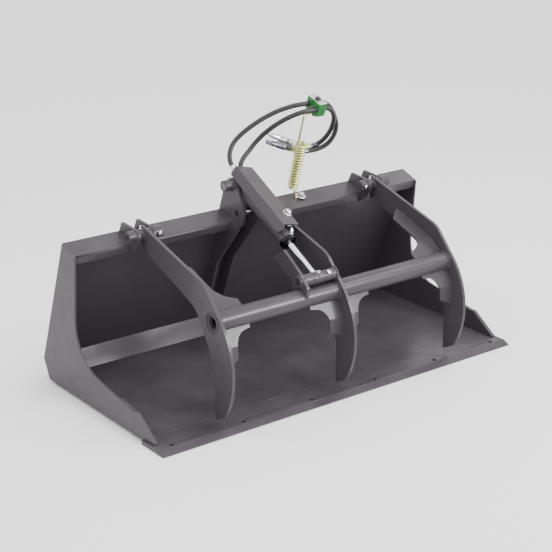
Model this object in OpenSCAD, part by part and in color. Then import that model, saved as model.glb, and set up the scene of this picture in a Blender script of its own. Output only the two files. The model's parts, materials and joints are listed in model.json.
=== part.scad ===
// Grapple bucket for a skid steer loader: a welded bucket, a three tine grapple
// hinged on its top tube, and one hydraulic cylinder with its hoses on a spring post.
// Working axes while drawing: X to the right, Y from the cutting edge to the back,
// Z up, with zero at the tip of the cutting edge and on the ground.

/* [Bucket] */
// Width over the outer faces of the two side plates
bucket_w = 1676; // [1500:1:1900]
// Depth of the flat floor, from the tip of the edge to the knee
floor_depth = 817; // [790:1:850]
// How far the knee runs back
knee_run = 38; // [34:1:44]
// How far the knee rises from the floor to the back
knee_rise = 79; // [72:1:86]
// Length of the back sheet, measured along its slope
back_len = 551.8; // [545:0.1:575]
// Lean of the back sheet, forward from upright
back_lean = 20.2; // [19:0.1:21.5]
// Thickness of the floor, knee and back sheets
sheet_t = 6; // [5:0.1:8]
// Thickness of the side plates
side_t = 8; // [6:0.1:12]
// Height of a side plate behind the side cutter
side_nose_h = 113.7; // [108:0.1:118]
// Distance of the throat corner of a side plate from the tip of the edge
throat_y = 609; // [600:1:620]
// Height of the throat corner of a side plate
throat_z = 167; // [160:1:180]
// Radius in the throat of a side plate
throat_r = 169; // [140:1:180]

/* [Cutting edge] */
// Overhang of the cutting edge past each side plate
edge_overhang = 10.5; // [6:0.1:16]
// Depth of the cutting edge, front to back
edge_d = 140; // [125:1:160]
// Thickness of the cutting edge
edge_t = 16; // [14:0.1:20]
// Depth of the bevel on top of the cutting edge
edge_bevel = 28; // [20:1:34]
// Thickness left at the tip of the bevel
edge_tip_t = 2; // [1:0.1:4]
// Diameter of the bolt holes for a bolt-on edge
edge_hole_d = 17.5; // [14:0.1:20]
// Distance of those holes from the tip
edge_hole_y = 46; // [42:1:52]
// Distance of the outermost holes from the sides of the bucket
edge_hole_inset = 54.5; // [45:0.5:80]
// Number of those holes
edge_hole_n = 6; // [2:2:6]
// Thickness of the side cutters
cutter_t = 16; // [12:0.1:20]
// Distance of a side cutter's front from the tip
cutter_y = 72; // [60:1:80]
// Distance of a side cutter's rear end from the tip
cutter_end_y = 300; // [280:1:320]
// Width of a wear strip under the floor
strip_w = 60; // [50:1:80]
// Place of the inner wear strips either side of the middle
strip_inner_x = 300; // [240:1:340]
// Distance of the outer wear strips from the sides of the bucket
strip_inset_x = 88; // [60:1:120]
// Distance of the wear strips' rear ends from the knee
strip_inset = 7; // [4:1:20]

/* [Top tube and hinges] */
// Depth of the rectangular tube along the top, square to the back
tube_d = 88; // [82:0.1:94]
// Height of that tube, along the back
tube_h = 40; // [36:0.1:46]
// Wall of that tube
tube_wall = 5; // [3:0.1:8]
// Height of the grapple hinge above the tube
hinge_up = 52.1; // [50:0.1:56]
// Distance of the grapple hinge ahead of the tube
hinge_ahead = 15.4; // [12:0.1:18]
// Diameter of the hinge and cylinder pins
pin_d = 25.4; // [24:0.1:26.5]
// Radial clearance of a pin in its bore
pin_gap = 0.05; // [0.02:0.01:0.08]
// Outer diameter of the hinge hubs and pin bosses
boss_d = 44; // [42:0.1:46]
// Length of a boss outside its plate
boss_len = 35; // [30:0.1:38]
// Length of an outer tine's hub
hub_len = 56; // [50:0.1:62]
// Side clearance of a hub or an eye between its plates
side_gap = 0.5; // [0.4:0.05:1]
// Thickness of a hinge ear
ear_t = 9.5; // [8:0.1:12]
// Size of the bolts that keep the pins in their bosses
keeper_d = 10; // [8:0.1:11]

/* [Grapple] */
// Distance of the outer tines from the sides of the bucket
tine_inset = 278; // [260:1:310]
// Thickness of a tine
tine_t = 12.7; // [10:0.1:14]
// Reach of a tine ahead of its hinge
tine_reach = 565; // [556:1:580]
// Drop of a tine's point below its hinge
tine_drop = 586; // [572:1:590]
// Outer diameter of the cross tube that joins the tines
cross_d = 73; // [70:0.1:74]
// Wall of the cross tube
cross_wall = 6; // [4:0.1:8]
// Distance of the cross tube ahead of the hinge
cross_ahead = 444; // [440:0.5:448]
// Drop of the cross tube below the hinge
cross_down = 215; // [213:0.5:218]
// Thickness of the gussets on the cross tube
gusset_t = 8; // [6:0.1:10]
// Width of a gusset along the cross tube
gusset_foot = 135; // [120:1:145]
// Width of a gusset along its tine
gusset_w = 62; // [50:1:72]

/* [Cylinder] */
// Place of the cylinder's axis, from the middle of the bucket
cyl_x = -91; // [-92:0.1:-90]
// Height of the base pin above the top tube
base_up = 140; // [138:0.1:143]
// Distance of the base pin inside the back sheet's outer face
base_in = 38.5; // [37:0.1:40]
// Thickness of a tower plate
tower_t = 12; // [10:0.1:13]
// Inside width between the tower plates
tower_gap = 64; // [63:0.1:66]
// Distance of the rod pin ahead of the hinge
rod_ahead = 440; // [438:0.5:442]
// Drop of the rod pin below the hinge
rod_down = 147.5; // [146:0.5:148.5]
// Outer diameter of the barrel
barrel_d = 60; // [58:0.1:61]
// Bore of the barrel
bore_d = 50.8; // [48:0.1:52]
// Distance from the base pin to the barrel's open end
barrel_end = 335; // [330:1:338]
// Length of the gland that stands out of the barrel
gland_len = 22; // [18:1:26]
// Diameter of the chromed rod
rod_d = 25; // [22:0.1:28]
// Diameter of the eye at the cylinder's base
base_eye_d = 50; // [46:0.1:50]
// Width of that eye
base_eye_w = 56; // [50:0.1:60]
// Diameter of the eye on the rod
rod_eye_d = 46; // [44:0.1:46]
// Width of the rod eye
rod_eye_w = 49; // [46:0.1:50]
// Outer end of the left rod boss, from the cylinder's axis
rod_boss_reach = 88; // [84:0.1:92]
// Thickness of the plate guard over the cylinder
guard_t = 5; // [4:0.1:6]
// Width of the guard's broad face
guard_w = 87; // [84:0.1:90]
// Width of the guard's folded side
guard_fold_w = 38; // [34:0.1:38]
// Length of the guard
guard_len = 338; // [330:1:344]

/* [Hoses] */
// Outer diameter of a hose
hose_d = 19; // [17:0.1:19.4]
// Bolt of the spring post, from the middle of the bucket
post_x = 247; // [246:0.5:248]
// Height of the hose clamp above the top tube
clamp_up = 424; // [423.5:0.1:424.5]
// Distance between the two hoses in the clamp
clamp_pitch = 47; // [46.6:0.1:47.4]
// Depth of the clamp, front to back
clamp_d = 76; // [74:0.1:80]
// Height of the clamp
clamp_h = 55; // [50:0.1:58]
// Width of the clamp along the hoses
clamp_w = 38; // [34:0.1:38]
// Outer diameter of the post's spring
spring_d = 44; // [40:0.1:45]
// Wire of the post's spring
spring_wire = 6; // [5:0.1:6.5]

/* [Quick attach] */
// Width of the loader's hook and latch rails on the back
attach_w = 1130; // [1100:1:1160]
// How far the rails stand out of the back sheet
attach_reach = 60; // [56:0.1:66]
// Thickness of the rails' plate
attach_t = 8; // [6:0.1:10]
// Spacing of the two latch slots
latch_pitch = 860; // [820:1:900]
// Length of a latch slot
latch_len = 74; // [60:1:90]
// Width of a latch slot
latch_w = 22; // [18:0.1:26]

/* [Hidden] */
$fn = 48;
paint = "#5c575c";
zinc = "#d8d9c0";
steel = "#b8bcc0";
rubber = "#303034";
clamp_green = "#2fb45a";

half_w = bucket_w / 2;
tine_pitch = half_w - tine_inset;
edge_hole_pitch = (bucket_w - 2 * edge_hole_inset) / (edge_hole_n - 1);
strip_outer_x = half_w - strip_inset_x;
hair = 0.05;
inner_w = bucket_w - 2 * side_t;
floor_z = edge_t - sheet_t;
pin_bore = pin_d + 2 * pin_gap;
knee_low = [floor_depth, floor_z];
knee_top = knee_low + [knee_run, knee_rise];
tube_y = -(sheet_t + tube_d);
attach_foot = 12;

function unit(v) = v / norm(v);
function half_angle(a, b, c) = acos(max(-1, min(1, unit(a - b) * unit(c - b)))) / 2;
function bisector(a, b, c) = unit(unit(a - b) + unit(c - b));
function mitre(a, b, c, t) = b + bisector(a, b, c) * t / sin(half_angle(a, b, c));

// A point of the back's own axes, y out of the back and z up along it, in working axes
function back_pt(y, z) = knee_top + [y * cos(back_lean) - z * sin(back_lean),
  y * sin(back_lean) + z * cos(back_lean)];

// A rounded outline from corners [y, z, radius]; a corner with no radius stays sharp
function corner_arc(a, b, c, r, n) = r <= 0 ? [b] :
  let (h = half_angle(a, b, c),
       centre = b + bisector(a, b, c) * r / sin(h),
       from = b + unit(a - b) * r / tan(h) - centre,
       to = b + unit(c - b) * r / tan(h) - centre,
       start = atan2(from[1], from[0]),
       sweep = (atan2(to[1], to[0]) - start + 540) % 360 - 180)
  [for (i = [0:n]) centre + r * [cos(start + sweep * i / n), sin(start + sweep * i / n)]];
function corner(p, i) = let (q = p[(i + len(p)) % len(p)]) [q[0], q[1]];
function radius(p) = len(p) > 2 ? p[2] : 0;
function near(p, y, z, r = 0) = [p[0] + y, p[1] + z, r];
function rounded(p, n = 8) = [for (i = [0:len(p) - 1])
  each corner_arc(corner(p, i - 1), corner(p, i), corner(p, i + 1), radius(p[i]), n)];

back_top = back_pt(0, back_len);
tube_front = back_pt(tube_y, back_len);
hinge = back_pt(tube_y - hinge_ahead, back_len + hinge_up);
base_pt = back_pt(-base_in, back_len + base_up);
rod_pt = hinge + [-rod_ahead, -rod_down];
cross_pt = hinge + [-cross_ahead, -cross_down];
pin_line = rod_pt - base_pt;
pin_to_pin = norm(pin_line);
cyl_angle = atan2(-pin_line[0], pin_line[1]);

// The part's own origin lies under the middle of its box, without the hoses
front_y = min(0, hinge[0] - tine_reach);
rear_y = back_pt(attach_reach, attach_foot)[0];
mid_y = (front_y + rear_y) / 2;

module placed() translate([0, -mid_y, 0]) children();
module on_back() translate([0, knee_top[0], knee_top[1]]) rotate([back_lean, 0, 0]) children();
module at_hinge() translate([0, hinge[0], hinge[1]]) children();
module on_cylinder()
  translate([cyl_x, base_pt[0], base_pt[1]]) rotate([cyl_angle, 0, 0]) children();

// An outline in Y and Z, made solid from x0 to x1
module slab(x0, x1) translate([x0, 0, 0]) rotate([90, 0, 90]) linear_extrude(x1 - x0) children();
module round_x(x0, x1, d, at = [0, 0])
  translate([x0, at[0], at[1]]) rotate([0, 90, 0]) cylinder(d = d, h = x1 - x0);
module boss_x(x0, x1, d, bore, at = [0, 0]) difference() {
  round_x(x0, x1, d, at);
  round_x(x0 - 1, x1 + 1, bore, at);
}
module hex_z(across, h) cylinder(d = across / cos(30), h = h, $fn = 6);

// Bucket shell
module cutting_edge() color(paint) difference() {
  slab(-half_w - edge_overhang, half_w + edge_overhang)
    polygon([[0, 0], [edge_d, 0], [edge_d, edge_t], [edge_bevel, edge_t], [0, edge_tip_t]]);
  for (i = [0:edge_hole_n - 1])
    translate([(i - (edge_hole_n - 1) / 2) * edge_hole_pitch, edge_hole_y, -1])
      cylinder(d = edge_hole_d, h = edge_t + 2);
}

floor_front = [edge_d, floor_z];
knee_low_in = mitre(floor_front, knee_low, knee_top, sheet_t);
knee_top_in = mitre(knee_low, knee_top, back_top, sheet_t);

module sheet(outline) slab(-inner_w / 2, inner_w / 2) polygon(outline);
module floor_plate() color(paint)
  sheet([floor_front, knee_low, knee_low_in, [edge_d, edge_t]]);
module knee_plate() color(paint) sheet([knee_low, knee_top, knee_top_in, knee_low_in]);
module back_plate() color(paint)
  sheet([knee_top, back_top, back_pt(-sheet_t, back_len), knee_top_in]);

side_outline = rounded([floor_front, [edge_d, edge_t], [cutter_end_y, edge_t],
  [cutter_end_y, side_nose_h], [throat_y, throat_z, throat_r], tube_front, back_top, knee_top,
  knee_low], 14);
module side_plate() color(paint) slab(half_w - side_t, half_w) polygon(side_outline);
module side_plate_left() mirror([1, 0, 0]) side_plate();
module side_plate_right() side_plate();

// The side cutter stands on the floor, flush outside with the side plate
cutter_lip = 6;
cutter_crest = [206, 99];
module side_cutter() color(paint) slab(half_w - cutter_t, half_w)
  polygon([[cutter_y, edge_t], [cutter_y, edge_t + cutter_lip], cutter_crest - [18, -1],
    cutter_crest, [cutter_end_y, side_nose_h], [cutter_end_y, edge_t]]);
module side_cutter_left() mirror([1, 0, 0]) side_cutter();
module side_cutter_right() side_cutter();

module wear_strips() color(paint)
  for (x = [-strip_outer_x, -strip_inner_x, strip_inner_x, strip_outer_x])
    translate([x - strip_w / 2, edge_d, 0])
      cube([strip_w, floor_depth - strip_inset - edge_d, floor_z]);

module top_tube() color(paint) on_back() difference() {
  slab(-inner_w / 2, inner_w / 2) difference() {
    translate([tube_y, back_len - tube_h]) square([tube_d - hair, tube_h]);
    translate([tube_y + tube_wall, back_len - tube_h + tube_wall])
      square([tube_d - 2 * tube_wall, tube_h - 2 * tube_wall]);
  }
  translate([post_x, post_y, back_len - 1.5 * tube_wall])
    cylinder(d = post_bolt_d + 0.4, h = 2 * tube_wall);
}

// Hinge ears: hooked plates that sit on the tube and reach down its front
hinge_at = [tube_y - hinge_ahead, back_len + hinge_up];
ear_outline = rounded([[-sheet_t, back_len], [-sheet_t - 5, hinge_at[1] - 3, 8],
  near(hinge_at, -30, 34, 30), [hinge_at[0] - 30, back_len + 16, 40],
  [tube_y - 3, back_len - tube_h], [tube_y, back_len - tube_h], [tube_y, back_len]]);
ear_x = hub_len / 2 + side_gap;
module ear_plate(x0) on_back() difference() {
  slab(x0, x0 + ear_t) polygon(ear_outline);
  round_x(x0 - 1, x0 + ear_t + 1, pin_bore, hinge_at);
}
// An ear with the boss that carries the pin's end; side is -1 for left and 1 for right
module bossed_ear(tine_x, side, keeper) color(paint) translate([tine_x, 0, 0])
  mirror([side < 0 ? 1 : 0, 0, 0]) {
    ear_plate(ear_x);
    on_back() difference() {
      boss_x(ear_x + ear_t, ear_x + ear_t + boss_len, boss_d, pin_bore, hinge_at);
      if (keeper) keeper_hole(ear_x + ear_t + boss_len / 2, hinge_at, hinge_turn);
    }
  }
module hinge_ear_left_outer() bossed_ear(-tine_pitch, -1, false);
module hinge_ear_left_inner() bossed_ear(-tine_pitch, 1, true);
module hinge_ear_right_inner() bossed_ear(tine_pitch, -1, true);
module hinge_ear_right_outer() bossed_ear(tine_pitch, 1, false);
module hinge_ear_centre() color(paint) ear_plate(ear_x);

// Pins, each held by a cross bolt through one boss
hinge_turn = 90 - back_lean;
rod_turn = 45;
rod_keeper_inset = 20;
module keeper_hole(x, at, turn = 0) translate([x, at[0], at[1]]) rotate([turn, 0, 0])
  translate([0, 0, -boss_d]) cylinder(d = keeper_d + 0.2, h = 2 * boss_d);
module keeper_bolt(x, at, od, turn = 0) translate([x, at[0], at[1]]) rotate([turn, 0, 0]) {
  translate([0, 0, -od / 2 - 1]) cylinder(d = keeper_d, h = od + 1);
  translate([0, 0, od / 2]) hex_z(1.6 * keeper_d, 0.7 * keeper_d);
  translate([0, 0, -od / 2 - 0.8 * keeper_d]) hex_z(1.6 * keeper_d, 0.8 * keeper_d);
}
pin_end = ear_x + ear_t + boss_len;
keeper_x = ear_x + ear_t + boss_len / 2;
module side_hinge_pin(tine_x, keeper_side) color(steel) on_back() difference() {
  round_x(tine_x - pin_end, tine_x + pin_end, pin_d, hinge_at);
  keeper_hole(tine_x + keeper_side * keeper_x, hinge_at, hinge_turn);
}
module hinge_pin_left() side_hinge_pin(-tine_pitch, 1);
module hinge_pin_right() side_hinge_pin(tine_pitch, -1);

tower_in = tower_gap / 2;
tower_out = tower_in + tower_t;
centre_hub_x = cyl_x + tower_out + side_gap;
module hinge_pin_centre() color(steel) on_back()
  round_x(cyl_x - tower_in - 0.3 * tower_t, ear_x + ear_t, pin_d, hinge_at);

base_at = [-base_in, back_len + base_up];
module base_pin() color(steel) on_back() difference() {
  round_x(cyl_x - tower_out - boss_len, cyl_x + tower_out + boss_len, pin_d, base_at);
  keeper_hole(cyl_x + tower_out + boss_len / 2, base_at);
}
module pin_keeper_bolts() color(zinc) on_back() {
  keeper_bolt(-tine_pitch + keeper_x, hinge_at, boss_d, hinge_turn);
  keeper_bolt(tine_pitch - keeper_x, hinge_at, boss_d, hinge_turn);
  keeper_bolt(cyl_x + tower_out + boss_len / 2, base_at, boss_d);
}

// Tower plates: cut in one piece from the base pin, round the tube, to a rib down the back
rib_d = 58;
rib_foot = 45;
tower_outline = rounded([[-2, back_len], [-2, back_len + 88, 60], near(base_at, 25.5, 25.2, 25),
  near(base_at, -26.5, 25.2, 25), [hinge_at[0] - 42.6, hinge_at[1] + 33, 35],
  [hinge_at[0] - 42.6, hinge_at[1] - 16, 50], [tube_y - 32, back_len - 47, 80],
  [-sheet_t - rib_d, 335, 120], [-sheet_t - rib_d, 2 * rib_foot, 25], [-sheet_t, rib_foot],
  [-sheet_t, back_len - tube_h], [tube_y, back_len - tube_h], [tube_y, back_len]]);
module tower_plate(side) color(paint) on_back() translate([cyl_x, 0, 0])
  mirror([side < 0 ? 1 : 0, 0, 0]) {
    difference() {
      slab(tower_in, tower_out) polygon(tower_outline);
      round_x(tower_in - 1, tower_out + 1, pin_bore, hinge_at);
      round_x(tower_in - 1, tower_out + 1, pin_bore, base_at);
    }
    difference() {
      boss_x(tower_out, tower_out + boss_len, boss_d, pin_bore, base_at);
      if (side > 0) keeper_hole(tower_out + boss_len / 2, base_at);
    }
  }
module tower_plate_left() tower_plate(-1);
module tower_plate_right() tower_plate(1);

// Quick attach on the back: a hook rail above, a slotted latch rail below
hook_z = 400;
hook_lip = attach_reach - 8;
latch_z = 70;
module attach_hook_rail() color(paint) on_back() slab(-attach_w / 2, attach_w / 2)
  polygon([[0, hook_z - 60], [attach_t, hook_z - 60], [attach_t, hook_z + 34],
    [hook_lip - 0.7 * attach_t, hook_z + 34 - hook_lip + 1.7 * attach_t],
    [hook_lip, hook_z + 34 - hook_lip + 2.4 * attach_t], [attach_t, hook_z + 34 + 1.4 * attach_t],
    [0, hook_z + 34 + 1.4 * attach_t]]);
latch_fall = 34;
module slot_z(long, wide, h) {
  translate([(wide - long) / 2, -wide / 2, 0]) cube([long - wide, wide, h]);
  for (x = [-1, 1] * (long - wide) / 2) translate([x, 0, 0]) cylinder(d = wide, h = h);
}
module attach_latch_rail() color(paint) on_back() difference() {
  slab(-attach_w / 2, attach_w / 2)
    polygon([[0, latch_z], [attach_reach, latch_z - latch_fall], [attach_reach, attach_foot],
      [attach_reach - attach_t, attach_foot],
      [attach_reach - attach_t, latch_z - latch_fall - attach_t], [0, latch_z - 1.2 * attach_t]]);
  for (x = [-1, 1] * latch_pitch / 2) translate([x, attach_reach / 2 - 2, attach_foot])
    slot_z(latch_len, latch_w, latch_z);
}
module attach_end_plates() color(paint) on_back() for (side = [0, 1]) mirror([side, 0, 0])
  slab(attach_w / 2, attach_w / 2 + attach_t) polygon(rounded([[0, attach_foot],
    [attach_reach, attach_foot], [attach_reach, latch_z - latch_fall + 14, 12],
    [0.4 * attach_reach, latch_z + 50, 30], [0.4 * attach_reach, hook_z - 40, 30],
    [hook_lip, hook_z + 12, 8], [hook_lip, hook_z + 30, 8], [attach_t, hook_z + 60, 6],
    [0, hook_z + 60]], 4));

// Hose post: a coil spring bolted to the tube, with its wire run up to the clamp
post_y = -38.4;
post_bolt_d = 12;
post_washer_t = 3;
coil_n = 37;
coil_low = 31;
coil_r = (spring_d - spring_wire) / 2;
coil_foot = [-34, 25, coil_low];
coil_len = coil_n * (spring_wire + 0.2);
coil_tilt = -3.5;
clamp_shift = [-22, 24.5];
eye_d = 20;
module on_post() on_back() translate([post_x, post_y, back_len]) children();
module wire(a, b) translate(a) rotate([0, acos((b - a)[2] / norm(b - a)),
  atan2((b - a)[1], (b - a)[0])]) cylinder(d = spring_wire, h = norm(b - a), $fn = 24);
module bent_wire(a, bend, b) {
  wire(a, bend + 0.4 * spring_wire * unit(bend - a));
  wire(bend, b);
}
module wire_eye(at) translate(at) rotate_extrude($fn = 32)
  translate([eye_d / 2, 0]) circle(d = spring_wire, $fn = 24);
// The coil as one turned solid whose outside has a round bead for every turn
coil_profile = [[coil_r - spring_wire / 2, 0], for (i = [0:coil_n - 1]) for (a = [-70, -35, 0, 35, 70])
  [coil_r + spring_wire / 2 * cos(a), coil_len * (i + 0.5) / coil_n + spring_wire / 2 * sin(a)],
  [coil_r - spring_wire / 2, coil_len]];
coil_top = coil_foot + [sin(coil_tilt) * coil_len, 0, cos(coil_tilt) * coil_len];
top_eye = [clamp_shift[0], clamp_shift[1], clamp_up - clamp_h / 2 - spring_wire / 2];
foot_bend = [-27, 3, spring_wire / 2 + 1.2];
top_bend = top_eye + [-38, -4, -1.5];
module hose_spring() color(zinc) on_post() {
  translate(coil_foot) rotate([0, coil_tilt, 0]) rotate_extrude() polygon(coil_profile);
  wire_eye([0, 0, spring_wire / 2]);
  bent_wire([-eye_d / 2, 0, spring_wire / 2], foot_bend, coil_foot + [0, -coil_r, 3]);
  bent_wire(coil_top + [-coil_r, 0, -3], top_bend, top_eye - [eye_d / 2, 0, 0]);
  wire_eye(top_eye);
}
module spring_bolt() color(zinc) on_post() {
  translate([0, 0, -tube_wall - 14]) cylinder(d = post_bolt_d, h = tube_wall + 14 + spring_wire);
  translate([0, 0, spring_wire]) cylinder(d = 3 * post_bolt_d, h = post_washer_t);
  translate([0, 0, spring_wire + post_washer_t]) hex_z(1.5 * post_bolt_d, 0.65 * post_bolt_d);
  translate([0, 0, -tube_wall - 0.8 * post_bolt_d]) hex_z(1.5 * post_bolt_d, 0.8 * post_bolt_d);
}

clamp_bolt_d = 10;
clamp_split = 0.6;
clamp_cover_t = 3;
module on_clamp() on_post() translate([clamp_shift[0], clamp_shift[1], clamp_up]) children();
module clamp_half() difference() {
  slab(-clamp_w / 2, clamp_w / 2) polygon(rounded([[-clamp_d / 2, clamp_split / 2],
    [clamp_d / 2, clamp_split / 2], [clamp_d / 2, clamp_h / 2, 3],
    [-clamp_d / 2, clamp_h / 2, 3]], 4));
  for (y = [-1, 1] * clamp_pitch / 2) round_x(-clamp_w, clamp_w, hose_d + 0.2, [y, 0]);
  cylinder(d = clamp_bolt_d + 0.4, h = clamp_h);
}
module hose_clamp_upper() color(clamp_green) on_clamp() clamp_half();
module hose_clamp_lower() color(clamp_green) on_clamp() mirror([0, 0, 1]) clamp_half();
module clamp_cover() color(zinc) on_clamp() translate([0, 0, clamp_h / 2]) difference() {
  translate([-clamp_w / 2, -clamp_d / 2, 0]) cube([clamp_w, clamp_d, clamp_cover_t]);
  translate([0, 0, -1]) cylinder(d = clamp_bolt_d + 0.4, h = clamp_cover_t + 2);
}
module clamp_bolt() color(zinc) on_clamp() {
  translate([0, 0, -clamp_h / 2 - spring_wire - 8])
    cylinder(d = clamp_bolt_d, h = clamp_h + spring_wire + clamp_cover_t + 8);
  translate([0, 0, clamp_h / 2 + clamp_cover_t]) hex_z(1.6 * clamp_bolt_d, 0.65 * clamp_bolt_d);
  translate([0, 0, -clamp_h / 2 - spring_wire - 2]) cylinder(d = 2.4 * clamp_bolt_d, h = 2);
  translate([0, 0, -clamp_h / 2 - spring_wire - 2 - 0.8 * clamp_bolt_d])
    hex_z(1.6 * clamp_bolt_d, 0.8 * clamp_bolt_d);
}

// Hose routes, in working axes, from the cylinder's elbow through the clamp to the coupler
base_route = [[-103, 549, 751], [-103, 571, 763], [-104, 594, 775], [-104, 613, 787],
  [-102, 630, 803], [-95, 643, 824], [-82, 650, 849], [-63, 650, 874], [-39, 640, 899],
  [-2, 622, 930], [43, 600, 960], [91, 575, 985], [139, 551, 1001], [175, 534, 1007],
  [206, 527, 1008], [244, 527, 1008], [272, 527, 1004], [298, 528, 992], [320, 530, 972],
  [337, 534, 947], [353, 541, 920], [365, 549, 895], [369, 559, 866], [362, 571, 834],
  [344, 584, 809], [319, 597, 795], [292, 609, 788], [264, 616, 788], [236, 620, 794]];
rod_route = [[-60, 316, 614], [-60, 380, 648], [-60, 450, 686], [-60, 514, 722],
  [-67, 538, 740], [-76, 563, 757], [-76, 587, 768], [-70, 606, 779], [-54, 622, 793],
  [-31, 632, 810], [-5, 636, 828], [22, 632, 857], [48, 610, 893], [74, 570, 932],
  [105, 528, 965], [142, 496, 986], [176, 484, 992], [206, 483, 992], [244, 483, 992],
  [267, 484, 988], [287, 488, 977], [304, 496, 960], [318, 508, 936], [328, 527, 908],
  [334, 548, 878], [335, 575, 847], [331, 600, 822], [319, 620, 805], [300, 633, 797],
  [276, 638, 798], [251, 640, 806]];
hose_sides = 10;
twist_ref = [0, 0.8, -0.6];
function heading(p, i) = unit(p[min(i + 1, len(p) - 1)] - p[max(i - 1, 0)]);
function ring(p, i, r) = let (t = heading(p, i), u = unit(cross(twist_ref, t)), v = cross(t, u))
  [for (k = [0:hose_sides - 1]) let (a = 360 * k / hose_sides) p[i] + r * (cos(a) * u + sin(a) * v)];
module hose(p, d) {
  last = len(p) - 1;
  skin = [for (i = [0:last - 1]) for (k = [0:hose_sides - 1]) let (m = (k + 1) % hose_sides)
    each [[i * hose_sides + k, (i + 1) * hose_sides + k, i * hose_sides + m],
          [i * hose_sides + m, (i + 1) * hose_sides + k, (i + 1) * hose_sides + m]]];
  ends = [[for (k = [0:hose_sides - 1]) k],
          [for (k = [hose_sides - 1:-1:0]) last * hose_sides + k]];
  polyhedron([for (i = [0:last]) each ring(p, i, d / 2)], concat(skin, ends));
}
module base_hose() color(rubber) hose(base_route, hose_d);
module rod_hose() color(rubber) hose(rod_route, hose_d);

// Quick couplers on the free hose ends: turned along the last leg of each hose
coupler_profile = [[0, 0], [11.5, 0], [11.5, 26], [9, 27], [9, 32], [13, 33], [13, 48], [10, 49],
  [10, 54], [14, 56], [14, 82], [15.5, 83], [15.5, 96], [14, 97], [14, 122], [11, 124], [11, 150],
  [9, 152], [9, 176], [6, 178], [6, 164], [0, 164]];
module coupler(at, rise) color(zinc) translate(at) rotate([0, rise - 90, 0])
  rotate_extrude($fn = 36) polygon(coupler_profile);
module coupler_front() coupler(base_route[len(base_route) - 1] + [-0.3, 0, 0], 20);
module coupler_rear() coupler(rod_route[len(rod_route) - 1] + [-0.3, 0, 0], 25);

// Grapple tines, in axes through the hinge
tine_outline = rounded([[32, 41, 27], [173 - tine_reach, -83, 110], [-tine_reach, -275, 290],
  [-tine_reach, -481, 290], [50 - tine_reach, 30 - tine_drop, 6], [107 - tine_reach, -tine_drop, 6],
  [-457, -418, 80], [-422, -318, 120], [-348, -193, 120], [-244, -147, 100], [-50, -78, 40],
  [32, -10, 25]]);
cross_at = [-cross_ahead, -cross_down];
module tine(x) color(paint) at_hinge() difference() {
  slab(x - tine_t / 2, x + tine_t / 2) polygon(tine_outline);
  round_x(x - tine_t, x + tine_t, boss_d);
  round_x(x - tine_t, x + tine_t, cross_d, cross_at);
}
module tine_left() tine(-tine_pitch);
module tine_centre() tine(0);
module tine_right() tine(tine_pitch);
module hub(x0, x1) color(paint) at_hinge() boss_x(x0, x1, boss_d, pin_bore);
module hub_left() hub(-tine_pitch - hub_len / 2, -tine_pitch + hub_len / 2);
module hub_centre() hub(centre_hub_x, hub_len / 2);
module hub_right() hub(tine_pitch - hub_len / 2, tine_pitch + hub_len / 2);
module cross_tube() color(paint) at_hinge() boss_x(-tine_pitch - tine_t / 2,
  tine_pitch + tine_t / 2, cross_d, cross_d - 2 * cross_wall, cross_at);

// Gussets: bent plates square to a tine, flared where they meet the cross tube
cross_r = cross_d / 2;
module bent_plate(path) slab(0, gusset_foot) polygon(concat(path,
  [for (i = [len(path) - 1:-1:0]) path[i] + gusset_t * side_step(path, i)]));
function side_step(p, i) = let (t = unit(p[min(i + 1, len(p) - 1)] - p[max(i - 1, 0)]))
  [t[1], -t[0]];
lower_path = [cross_at + [-14, 4 - cross_r], cross_at + [-44, -91], cross_at + [-46, -120],
  cross_at + [-48, -168]];
upper_path = [cross_at + [288, 138], cross_at + [82, 64], cross_at + [28, 23]];
module lower_gusset() intersection() {
  bent_plate(lower_path);
  translate([0, cross_at[0] + 100, cross_at[1]]) rotate([90, 0, 0]) linear_extrude(300)
    polygon(rounded([[0, 0], [gusset_foot, 0], [gusset_foot, -cross_r - 4, 4],
      [gusset_w, -cross_r - 14, 56], [gusset_w, -140, 10], [0, -167]]));
}
module upper_gusset() intersection() {
  bent_plate(upper_path);
  translate([0, cross_at[0], cross_at[1] - 100]) linear_extrude(400)
    polygon(rounded([[0, 290], [gusset_w, 236, 10], [gusset_w, 74, 56],
      [gusset_foot, 46, 4], [gusset_foot, 0], [0, 0]]));
}
// A gusset on one side of a tine: side is 1 for its right face and -1 for its left
module gusset_on(tine_x, side) at_hinge() difference() {
  translate([tine_x + side * tine_t / 2, 0, 0]) mirror([side < 0 ? 1 : 0, 0, 0]) children();
  round_x(-tine_pitch, tine_pitch, cross_d, cross_at);
}
module gussets_lower() color(paint) {
  gusset_on(-tine_pitch, 1) lower_gusset();
  gusset_on(0, -1) lower_gusset();
  gusset_on(0, 1) lower_gusset();
  gusset_on(tine_pitch, -1) lower_gusset();
}
module gussets_upper() color(paint) {
  gusset_on(-tine_pitch, 1) upper_gusset();
  gusset_on(tine_pitch, -1) upper_gusset();
}

// Rod anchor: a lug and two bosses on the cross tube, with the pin in three lengths
rod_at = [-rod_ahead, -rod_down];
eye_half = rod_eye_w / 2;
lug_t = 13;
lug_x = cyl_x - rod_boss_reach + 8;
module rod_lug() color(paint) at_hinge() difference() {
  slab(lug_x, lug_x + lug_t) polygon(rounded([rod_at + [159, 53.5], rod_at + [98, 97.5],
    near(rod_at, -9, 26.5, 25), near(rod_at, -47, -15.5, 15), cross_at + [-34, 0], cross_at + [34, 0],
    near(cross_at, 55, 63, 20)]));
  round_x(lug_x - 1, lug_x + lug_t + 1, boss_d, rod_at);
  round_x(lug_x - 1, lug_x + lug_t + 1, cross_d, cross_at);
}
rod_boss_in = eye_half + side_gap;
module rod_boss(x0, x1, keeper) color(paint) at_hinge() difference() {
  boss_x(x0, x1, boss_d, pin_bore, rod_at);
  if (keeper) keeper_hole(rod_keeper_x, rod_at, rod_turn);
}
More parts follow.
